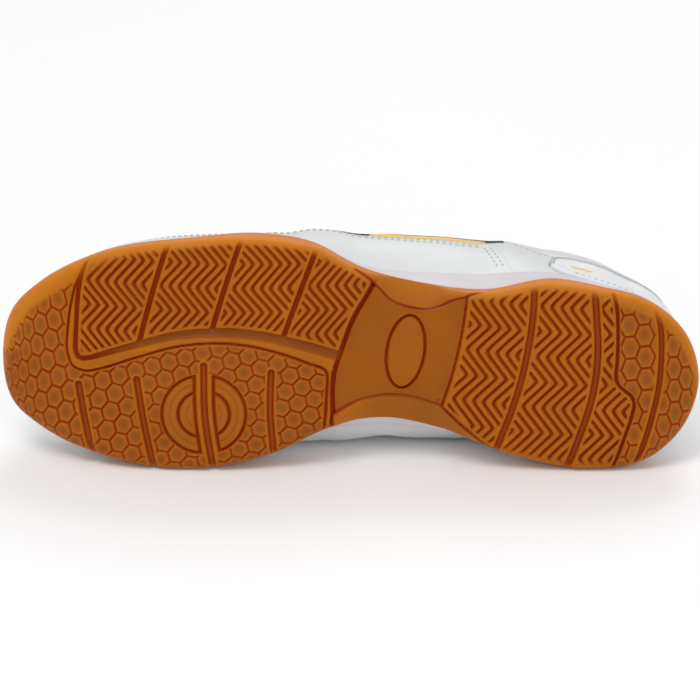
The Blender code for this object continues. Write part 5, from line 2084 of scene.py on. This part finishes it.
@dataclass(frozen=True)
class Eyestay:
    """Reinforcement round the throat with its eyelets."""

    front: float = -51.5
    rear: float = 45.6
    inset: float = 18.0
    nose_long: float = 27.5
    nose_half: float = 30.0
    rear_taper: float = 18.2
    thickness: float = 1.6
    eyelet_radius: float = 2.2
    stands: tuple[str, str] = ("eyestay", "white_trim")

    def width(self, x: Array) -> Array:
        """Width of the band: a parabola in plan round the throat's front, then even to its rear taper.

        Args:
            x: Places along the shoe.

        Returns:
            Widths in millimetres.
        """
        ahead = (x - self.front) / self.nose_long
        nose = self.nose_half * np.sqrt(np.clip(ahead, 0, 1)) - smooth(THROAT, "size", x)
        rear = np.clip((self.rear - x) / self.rear_taper, 0, 1)
        return np.where(ahead < 1, nose, self.inset) * (0.6 + 0.4 * np.sqrt(rear))

    def build(self) -> list[Piece]:
        """One band on each side, joined in front of the throat, and rings set into its holes.

        Returns:
            Both bands and the rings.
        """
        x = np.linspace(self.rear, self.front, 210)
        up = np.linspace(0, 1, 40)[None] * self.width(x)[:, None]
        down = self.width(x)[:, None] - up
        ends = np.minimum(x - self.front, self.rear - x)[:, None]
        before = np.maximum(THROAT[0].x - x, 0)[:, None]
        edge = least(up, np.hypot(before, down), ends)
        made = []
        for side in Side:
            w = side_place(side, x)
            middles = np.array([SKIN.eyelet(side, station)[0] for station in EYELETS])
            made.append(pillow("eyestay_" + side.name.lower(), w, SKIN.length(w) - down, edge, self.thickness,
                               TRIM, 1.1, middles, self.eyelet_radius, self.stands))
        return made + [self.rings()]

    def rings(self) -> Piece:
        """Rolled rings of the eyelets: a circle carried round each hole's axis.

        Returns:
            All the rings as one piece.
        """
        around, section = 28, 8
        u = np.linspace(0, 2 * math.pi, around, endpoint=False)[:, None, None]
        v = np.linspace(0, 2 * math.pi, section, endpoint=False)[None, :, None]
        parts = []
        for side in Side:
            for x in EYELETS:
                middle, normal = SKIN.eyelet(side, x)
                first = unit(np.cross(normal, (1.0, 0.0, 0.0)))
                spoke = np.cos(u) * first + np.sin(u) * np.cross(normal, first)
                ring = middle + (self.eyelet_radius + 0.35 + 0.55 * np.cos(v)) * spoke
                parts.append(ring + (self.thickness + 0.4 * np.sin(v)) * normal)
        start = np.arange(len(parts))[:, None, None] * around * section
        quads = (grid_quads(around, section, closed=True, tube=True)[None] + start).reshape(-1, 4)
        return shaded_mesh("eyelet_rings", np.array(parts), quads, TRIM, stands=self.stands)


@dataclass(frozen=True)
class HeelCounter:
    """Reinforcement round the heel, rounded at its two front ends."""

    start: float = 84.8
    thickness: float = 1.6
    wrap: float = 150.0
    rib_shares: tuple[float, float] = (0.30, 0.62)
    rib_half: float = 1.3
    cord_half: float = 1.1
    cord_out: float = 0.9
    dash_half: float = 0.7
    dash_span: tuple[float, float] = (93.0, 102.5)
    stands: tuple[str, str] = ("heel_counter", "white_trim")

    def place(self, count: int) -> tuple[Array, Array, Array]:
        """Places from the inner tip round the heel to the outer one, with the lowest and highest length.

        Args:
            count: Columns in all.

        Returns:
            Places, and the two borders at each.
        """
        tip = (HEEL_CENTRE[0] - self.start) / SPINE
        w = np.linspace(3.0 - tip, 4.0 + tip, count)
        low, top = 1.2, SKIN.length(w)[:, 0] - SKIN.pad_band - 2.0
        half = 0.5 * (top - low) * (0.25 + 0.75 * dome(1 - np.maximum(3.0 - w, w - 4.0) / tip))
        return w, 0.5 * (low + top) - half, 0.5 * (low + top) + half

    def build(self) -> list[Piece]:
        """The panel, two ribs along it, a grey strip of painted shade on its border and a short piping on
        each side.

        Returns:
            All of them.
        """
        w, low, top = self.place(260)
        arcs = low[:, None] + (top - low)[:, None] * np.linspace(0, 1, 48)[None]
        ends = np.minimum(w - w[0], w[-1] - w)[:, None] * SPINE
        edge = least(arcs - low[:, None], top[:, None] - arcs, ends)
        made = [pillow("counter_panel", w, arcs, edge, self.thickness, TRIM, 1.2, stands=self.stands)]
        run = np.linspace(w[6], w[-7], 240)
        ends = np.minimum(run - run[0], run[-1] - run)[:, None] * SPINE
        across = self.rib_half * np.linspace(-1, 1, 9)[None]
        for number, share in enumerate(self.rib_shares, 1):
            centre = np.interp(run, w, low + (top - low) * share)[:, None]
            made.append(pillow("counter_rib_%d" % number, run, centre + across,
                               least(self.rib_half - np.abs(across), ends), self.thickness + 0.7, TRIM,
                               self.rib_half, stands=self.stands))
        return made + [self.shade_cord(w, low, top)] + [self.dash(side, w, low, top) for side in Side]

    def shade_cord(self, w: Array, low: Array, top: Array) -> Piece:
        """Grey strip of painted shade up one tip, along the upper border and down the other tip.

        Args:
            w: Places along the panel.
            low: Its lower border.
            top: Its upper border.

        Returns:
            The cord.
        """
        rise = np.linspace(0, 1, 12)
        arcs = np.concatenate([low[0] + (top[0] - low[0]) * rise, top, top[-1] + (low[-1] - top[-1]) * rise])
        path = np.stack([np.pad(w, rise.size, "edge") * self.wrap, arcs], 1)
        run = run_along(path)
        at = np.linspace(0, run[-1], 330)
        path = np.stack([np.interp(at, run, values) for values in path.T], 1)
        path[4:-4] = np.stack([np.convolve(values, np.ones(9) / 9, "valid") for values in path.T], 1)
        along = unit(np.gradient(path, axis=0))
        off = self.cord_half * np.linspace(-1, 1, 7)[None]
        across = self.cord_out + off
        edge = self.cord_half - np.abs(off) + 0 * path[:, :1]
        edge[[0, -1]] = 0.0
        place = (path[:, :1] + along[:, 1:] * across) / self.wrap
        return pillow("counter_shade_cord", place, path[:, 1:] - along[:, :1] * across, edge, self.thickness + 0.6,
                      SHADE_GREY_TRIM, self.cord_half)

    def dash(self, side: Side, w: Array, low: Array, top: Array) -> Piece:
        """Short gold piping on the front of the first rib.

        Args:
            side: Which side of the heel.
            w: Places along the panel.
            low: Its lower border.
            top: Its upper border.

        Returns:
            The piping.
        """
        place = side_place(side, np.linspace(*self.dash_span, 60))
        turned = np.where(place < 1.0, place + 4.0, place)
        centre = np.interp(turned, w, low + self.rib_shares[0] * (top - low))
        half = self.dash_half * np.sqrt(np.clip(1 - np.abs(np.linspace(-1, 1, 60)) ** 6, 0.01, 1))
        return strip("counter_dash_" + side.name.lower(), place, centre, half, 9, self.thickness + 1.1,
                     GOLD_TRIM, 0.6)


class TrimStrip(NamedTuple):
    """One strip of the side trim: its ends, place, greatest width, height over the skin and finish."""

    label: str
    start: float
    end: float
    offset: float
    width: float
    height: float
    finish: Finish


@dataclass(frozen=True)
class SideTrim:
    """Plain dark lens-shaped band along the quarter, with a gold piping under its rear part."""

    lift: float = 3.6
    rise: float = 3.0
    strips: tuple[TrimStrip, ...] = (
        TrimStrip("band", -12.0, 66.0, 3.6, 6.4, 0.7, DARK_TRIM),
        TrimStrip("piping", 8.0, 58.0, 0.1, 1.5, 1.0, GOLD_TRIM),
    )

    def build(self) -> list[Piece]:
        """Strips that run above the quarter's seam on both sides and taper to their ends.

        Returns:
            The strips.
        """
        made = []
        for side in Side:
            for row in self.strips:
                x = np.linspace(row.start, row.end, 190)
                taper = np.abs(np.linspace(-1, 1, 190)) ** 2.6
                half = 0.5 * row.width * np.sqrt(np.clip(1 - taper, 0.004, 1))
                line = SKIN.seam_line(x) + self.lift + row.offset + self.rise * ease(30.0, 70.0, x)
                name = "side_%s_%s" % (row.label, side.name.lower())
                made.append(strip(name, side_place(side, x), line, half, 15, row.height, row.finish,
                                  min(0.8, 0.5 * row.width)))
        return made


@dataclass(frozen=True)
class Tongue:
    """Padded flap under the throat, standing past the top eyelets."""

    drop: float = 5.4
    half_thick: float = 2.0
    slope: float = 1.05
    break_x: float = 52.0
    tip_x: float = 60.0
    tip_long: float = 8.6
    round_edge: float = 3.2
    channel_x: float = 46.0
    channel_pitch: float = 7.0

    def sheet(self, x: Array, side: Array) -> tuple[Array, Array]:
        """Middle sheet of the tongue: the last's own arch, carried on straight past the instep.

        Args:
            x: Stations.
            side: Distances from the middle line.

        Returns:
            Points and upward directions.
        """
        outer, inner = (Columns(side_place(way, x[:, 0])) for way in (Side.LATERAL, Side.MEDIAL))
        wide = np.where(side < 0, *(c.reach + c.of(LAST_SECTIONS, "bulge") for c in (outer, inner)))
        high = np.where(side < 0, *(c.of(LAST_SECTIONS, "high") for c in (outer, inner)))
        power = smooth(LAST_SECTIONS, "power", x)
        crest = smooth(LAST_SECTIONS, "ridge", np.minimum(x, self.break_x))
        crest = crest + np.clip(x - self.break_x, 0, None) * self.slope
        z = high + (crest - high) * (1 - np.abs(side / wide) ** power) ** (1 / power)
        points = np.stack([x, spine_y(x) + side, z], 2)
        normal = unit(np.cross(np.gradient(points, axis=0), np.gradient(points, axis=1)))
        return points, normal * np.sign(normal[..., 2:])

    def build(self) -> list[Piece]:
        """Two faces that swell from a common border, with sewn channels across the top.

        Returns:
            The tongue.
        """
        xs = np.linspace(TONGUE[0].x, TONGUE[-1].x, 150)
        tip = np.clip((xs - self.tip_x) / self.tip_long, 0, 1)
        half = (smooth(TONGUE, "size", xs) * np.sqrt(np.clip(1 - tip ** 3, 0.05, 1)))[:, None]
        side = half * np.sin(np.linspace(-1, 1, 70)[None] * math.pi / 2)
        x = np.broadcast_to(xs[:, None], side.shape)
        points, normal = self.sheet(x, side)
        edge = least(half - np.abs(side), x - xs[0], xs[-1] - x)
        swell = self.half_thick * dome(edge / self.round_edge)
        border = 0.7 * bell(edge - 4.6, 0.8)
        step = (x - self.channel_x) / self.channel_pitch
        channel = bell((step - np.round(step)) * self.channel_pitch, 0.9)
        quilt = 0.6 * channel * ease(40.0, 42.0, x) * ease(4.0, 6.0, edge)
        faces = [points + normal * (high - self.drop)[..., None] for high in (swell - border - quilt, -swell)]
        quads = grid_quads(*side.shape)
        piece = shaded_mesh("tongue_pad", np.array(faces),
                            np.concatenate([quads, quads[:, ::-1] + side.size]), TONGUE_CLOTH, None,
                            np.array([np.stack([x, side], 2)] * 2), stands=("tongue", "white_textile"))
        return [piece]


@dataclass(frozen=True)
class Insole:
    """Cloth-covered foot bed."""

    thick: float = 4.0
    gap: float = 0.3
    clearance: float = 3.8
    bevel: float = 1.2
    rings: int = 22

    def build(self) -> list[Piece]:
        """Rings over the foot bed, bevelled at the border, and back underneath.

        Returns:
            The foot bed.
        """
        columns = Columns(ring_places(110, 70, 60))
        t = np.concatenate([np.linspace(0, 1, self.rings), [1.0], np.linspace(1, 0, 6)])[None]
        d = (columns.feather() - self.clearance) * t
        top = np.arange(t.size)[None] < self.rings
        ground = smooth(SOLE_SECTIONS, "top", columns.x_at(d)) + self.gap
        points = columns.at(d, ground + top * (self.thick - self.bevel * ease(0.9, 1.0, t)))
        return [shaded_mesh("foot_bed", points, None, INSOLE_CLOTH, None, points[..., :2],
                            stands=("insole", "grey_insole"))]


@dataclass(frozen=True)
class Lace:
    """Flat woven lace: a bar at the front, then crossings up to the top eyelets."""

    width: float = 6.0
    thick: float = 1.3
    pinched: tuple[float, float] = (3.7, 2.1)
    over: float = 2.5
    under: float = -2.75
    layer: float = 0.75
    bar_layer: float = 0.4
    around: int = 14

    def run(self, start: tuple[float, Side], end: tuple[float, Side], last: bool,
            layer: float) -> tuple[Array, Array]:
        """Path of one run, from inside one eyelet over the throat to the opposite one.

        Args:
            start: Station and side where it comes out.
            end: Station and side where it goes in.
            last: Whether it goes in from above, as at the bar and the top.
            layer: Height over the other run where the two cross.

        Returns:
            Middle line of the run, and the direction across the lace.
        """
        gap = 0.24 * (end[0] - start[0])
        a, na = SKIN.eyelet(start[1], start[0])
        b, nb = SKIN.eyelet(end[1], end[0])
        edge_a, edge_na = SKIN.eyelet(start[1], start[0] + gap, 1.0)
        edge_b, edge_nb = SKIN.eyelet(end[1], end[0] - gap, 1.0)
        far = self.over if last else self.under
        middle = 0.5 * (edge_a + edge_b) + np.array([0.0, 0.0, 1.0 + layer + (1.6 if last else 0.2)])
        stops = [a - 2.4 * na, a - 0.2 * na, a + self.over * na + 0.16 * (edge_a - a),
                 edge_a + self.over * edge_na, middle, edge_b + far * edge_nb,
                 b + far * nb + 0.16 * (edge_b - b)]
        if last:
            stops += [b - 0.2 * nb, b - 2.4 * nb]
        return open_curve(np.array(stops), 0.8), unit(np.cross(b - a, na + nb))

    def runs(self) -> list[tuple[Array, Array]]:
        """Every run of the lace: the bar, then two crossings between each pair of eyelets and the next.

        Returns:
            Middle lines and the directions across.
        """
        front, top = EYELETS[0], EYELETS[-1]
        found = [self.run((front, Side.LATERAL), (front, Side.MEDIAL), True, self.bar_layer)]
        for x, ahead in zip(EYELETS[:-1], EYELETS[1:]):
            for side, other, layer in ((Side.MEDIAL, Side.LATERAL, self.layer),
                                       (Side.LATERAL, Side.MEDIAL, -self.layer)):
                found.append(self.run((x, side), (ahead, other), ahead == top, layer))
        return found

    def build(self) -> list[Piece]:
        """A flattened oval carried along each run, drawn in where it passes an eyelet.

        Returns:
            All the runs as one piece.
        """
        turn = np.linspace(0, 2 * math.pi, self.around, endpoint=False)[None]
        u, v = (np.sign(wave) * np.abs(wave) ** 0.6 for wave in (np.cos(turn), np.sin(turn)))
        parts, quads, plans = [], [], []
        for path, across in self.runs():
            tangent = unit(np.gradient(path, axis=0))
            flat = unit(across - (across * tangent).sum(1, keepdims=True) * tangent)
            rise = np.cross(tangent, flat)
            run = run_along(path)[:, None]
            pinch = ease(2.0, 8.0, np.minimum(run, run[-1] - run))
            half, deep = (0.5 * (small + (full - small) * pinch)
                          for small, full in zip(self.pinched, (self.width, self.thick)))
            ring = path[:, None] + (half * u)[..., None] * flat[:, None]
            ring = ring + (deep * v)[..., None] * rise[:, None]
            caps = [np.broadcast_to(path[k], (1, self.around, 3)) for k in (0, -1)]
            tube = np.concatenate([caps[0], ring, caps[1]]).reshape(-1, 3)
            start = sum(map(len, parts))
            quads.append(grid_quads(len(tube) // self.around, self.around, tube=True) + start)
            parts.append(tube)
            along = np.concatenate([run[:1], run, run[-1:]]) + 0 * turn
            plans.append(np.stack([along, 0.5 * self.width * u + 0 * along], 2).reshape(-1, 2))
        return [shaded_mesh("crossed_lace", np.concatenate(parts), np.concatenate(quads), LACE_WEAVE, None,
                            np.concatenate(plans), stands=("lace", "white_lace"))]


@dataclass(frozen=True)
class Stitching:
    """Rows of sewn thread along the upper's seams, in a grey whose darkness is painted shade."""

    length: float = 2.0
    gap: float = 0.8
    radius: float = 0.3
    shares: tuple[float, ...] = (-1.0, -0.72, 0.0, 0.72, 1.0)
    around: int = 6

    def row(self, w: Array, arcs: Array, lift: float) -> Array:
        """Stitches along one line on the upper.

        Each stitch is a spindle whose two ends dip into the skin.

        Args:
            w: Places round the shoe, along the line.
            arcs: Lengths up from the sole, along the line.
            lift: Height of the line over the skin.

        Returns:
            Rings of vertices, by stitch.
        """
        points, normals = (values[:, 0] for values in SKIN.surface(w, arcs[:, None]))
        points = points + lift * normals
        run = run_along(points)
        pace, share = self.length + self.gap, np.array(self.shares)[None]
        place = np.arange(pace / 2, run[-1] - pace / 2, pace)[:, None] + 0.5 * self.length * share
        line, out = (np.stack([np.interp(place, run, values) for values in track.T], 2)
                     for track in (points, normals))
        beside = np.cross(out, unit(line[:, -1:] - line[:, :1]))[:, :, None]
        thick = self.radius * np.sqrt(np.clip(1 - np.abs(share) ** 3, 0, 1))[..., None, None]
        turn = np.linspace(0, 2 * math.pi, self.around, endpoint=False)[None, None, :, None]
        middle = (line + (0.18 - 0.34 * share ** 2)[..., None] * out)[:, :, None]
        return middle + thick * (np.cos(turn) * beside + 0.8 * np.sin(turn) * out[:, :, None])

    @staticmethod
    def lines() -> list[tuple[Array, Array, float]]:
        """Every sewn line.

        Returns:
            Places, lengths up from the sole and height over the skin of each line.
        """
        found = []
        stay, counter = Eyestay(), HeelCounter()
        for side in Side:
            x = np.linspace(stay.rear - 3.0, stay.front + 3.0, 120)
            w = side_place(side, x)
            found.append((w, SKIN.length(w)[:, 0] - stay.width(x) + 2.2, stay.thickness))
            w = side_place(side, np.linspace(stay.rear - 4.0, -34.0, 110))
            found.append((w, SKIN.length(w)[:, 0] - 2.4, stay.thickness))
            x = np.linspace(-33.0, 58.0, 120)
            for below in (1.5, 4.2):
                found.append((side_place(side, x), SKIN.seam_line(x) - below, 0.0))
            arcs = np.linspace(SKIN.seam_line(55.0) - 4.6, 2.0, 40)
            for start in (55.5, 58.1):
                x = start + SKIN.quarter_slant * (SKIN.seam_middle - arcs)
                found.append((side_place(side, x), arcs, 0.0))
            w = side_place(side, np.linspace(70.0, 102.0, 40))
            found.append((w, SKIN.length(w)[:, 0] - SKIN.pad_band - 1.0, 0.0))
        w = np.linspace(side_place(Side.LATERAL, -26.0), side_place(Side.MEDIAL, -26.0), 420)
        for below in (1.4, 3.4):
            found.append((w, SKIN.cap_top(w)[:, 0] - below, 0.0))
        w, low, top = (values[8:-8] for values in counter.place(200))
        for arcs in (top - 2.0, low + 2.0):
            found.append((w, arcs, counter.thickness))
        return found

    def build(self) -> list[Piece]:
        """All the rows as one piece.

        Returns:
            The stitches.
        """
        points = np.concatenate([self.row(*line) for line in self.lines()])
        rings = len(self.shares)
        start = np.arange(len(points))[:, None, None] * rings * self.around
        quads = (grid_quads(rings, self.around, tube=True)[None] + start).reshape(-1, 4)
        return [shaded_mesh("seam_stitches", points, quads, SHADE_GREY_THREAD, None, points[..., :2],
                            middle=foot_middle(points))]


class Box(NamedTuple):
    """A square soft box: its name, place, size and power."""

    name: str
    place: tuple[float, float, float]
    size: float
    power: float


@dataclass(frozen=True)
class Studio:
    """Floor, lights and camera."""

    view_from_sole_deg: float = 15.0
    frame_width: float = 0.294
    lens: float = 300.0
    sensor: float = 36.0
    floor_half: float = 4.0
    sweep_start: float = 2.0
    ambient: float = 0.6
    target: tuple[float, float, float] = (0.0, 0.0, 0.05)
    boxes: tuple[Box, ...] = (
        Box("key_box", (-0.5, -1.0, 1.9), 0.9, 17.0),
        Box("front_box", (0.7, -1.7, 0.8), 0.8, 6.0),
        Box("back_box", (0.3, 1.3, 1.6), 1.0, 9.0),
    )

    def floor(self) -> None:
        """A pale floor that runs up by a square into a distant backdrop, as one swept profile."""
        x, y = np.meshgrid(*(np.linspace(-self.floor_half, self.floor_half, count) for count in (21, 41)),
                           indexing="ij")
        points = np.stack([x, y, 0.6 * np.maximum(y - self.sweep_start, 0.0) ** 2], 2)
        mesh = bpy.data.meshes.new("studio_floor")
        mesh.from_pydata(points.reshape(-1, 3).tolist(), [], grid_quads(*x.shape).tolist())
        mesh.polygons.foreach_set("use_smooth", np.ones(len(mesh.polygons), bool))
        mesh.materials.append(Floor().material())
        sheet = bpy.data.objects.new("studio_floor", mesh)
        bpy.context.scene.collection.objects.link(sheet)

    def light(self) -> None:
        """Even white surroundings, with a large box overhead and two fills that all face the shoe."""
        world = bpy.data.worlds.new("studio")
        world.use_nodes = True
        world.node_tree.nodes["Background"].inputs["Color"].default_value = (1.0, 1.0, 1.0, 1.0)
        world.node_tree.nodes["Background"].inputs["Strength"].default_value = self.ambient
        bpy.context.scene.world = world
        for box in self.boxes:
            light = bpy.data.lights.new(box.name, "AREA")
            light.size, light.energy = box.size, box.power
            lamp = bpy.data.objects.new(box.name, light)
            lamp.location = box.place
            lamp.rotation_mode = "QUATERNION"
            lamp.rotation_quaternion = (Vector(self.target) - Vector(box.place)).to_track_quat("-Z", "Y")
            bpy.context.scene.collection.objects.link(lamp)

    def camera(self) -> None:
        """A long lens that looks at the sole a little from the outer side, a set angle off its normal."""
        tilt = math.radians(POSE.lean_deg + self.view_from_sole_deg)
        back = Vector((0.0, -math.cos(tilt), math.sin(tilt)))
        data = bpy.data.cameras.new("photo_camera")
        data.lens, data.sensor_width, data.clip_end = self.lens, self.sensor, 50.0
        camera = bpy.data.objects.new("photo_camera", data)
        camera.location = Vector(POSE.shift) + back * (self.frame_width * self.lens / self.sensor)
        camera.rotation_mode = "QUATERNION"
        camera.rotation_quaternion = (-back).to_track_quat("-Z", "Y")
        bpy.context.scene.collection.objects.link(camera)
        bpy.context.scene.camera = camera

    def build(self) -> None:
        """Set the whole studio."""
        self.camera()
        self.floor()
        self.light()
        bpy.context.scene.view_settings.view_transform = "Standard"
        bpy.context.scene.view_settings.look = "None"


def main() -> None:
    """Set the studio, then build the shoe's pieces in the order that a maker would put them together."""
    logging.basicConfig(level=logging.INFO, format="%(message)s")
    Studio().build()
    for maker in (Outsole(), Midsole(), Insole(), Upper(), HeelCounter(), Eyestay(), Tongue(), Lace(),
                  SideTrim(), Stitching()):
        for piece in maker.build():
            LOG.info("%s: %s, %d faces", type(maker).__name__, piece.name, len(piece.data.polygons))


if __name__ == "__main__":
    main()
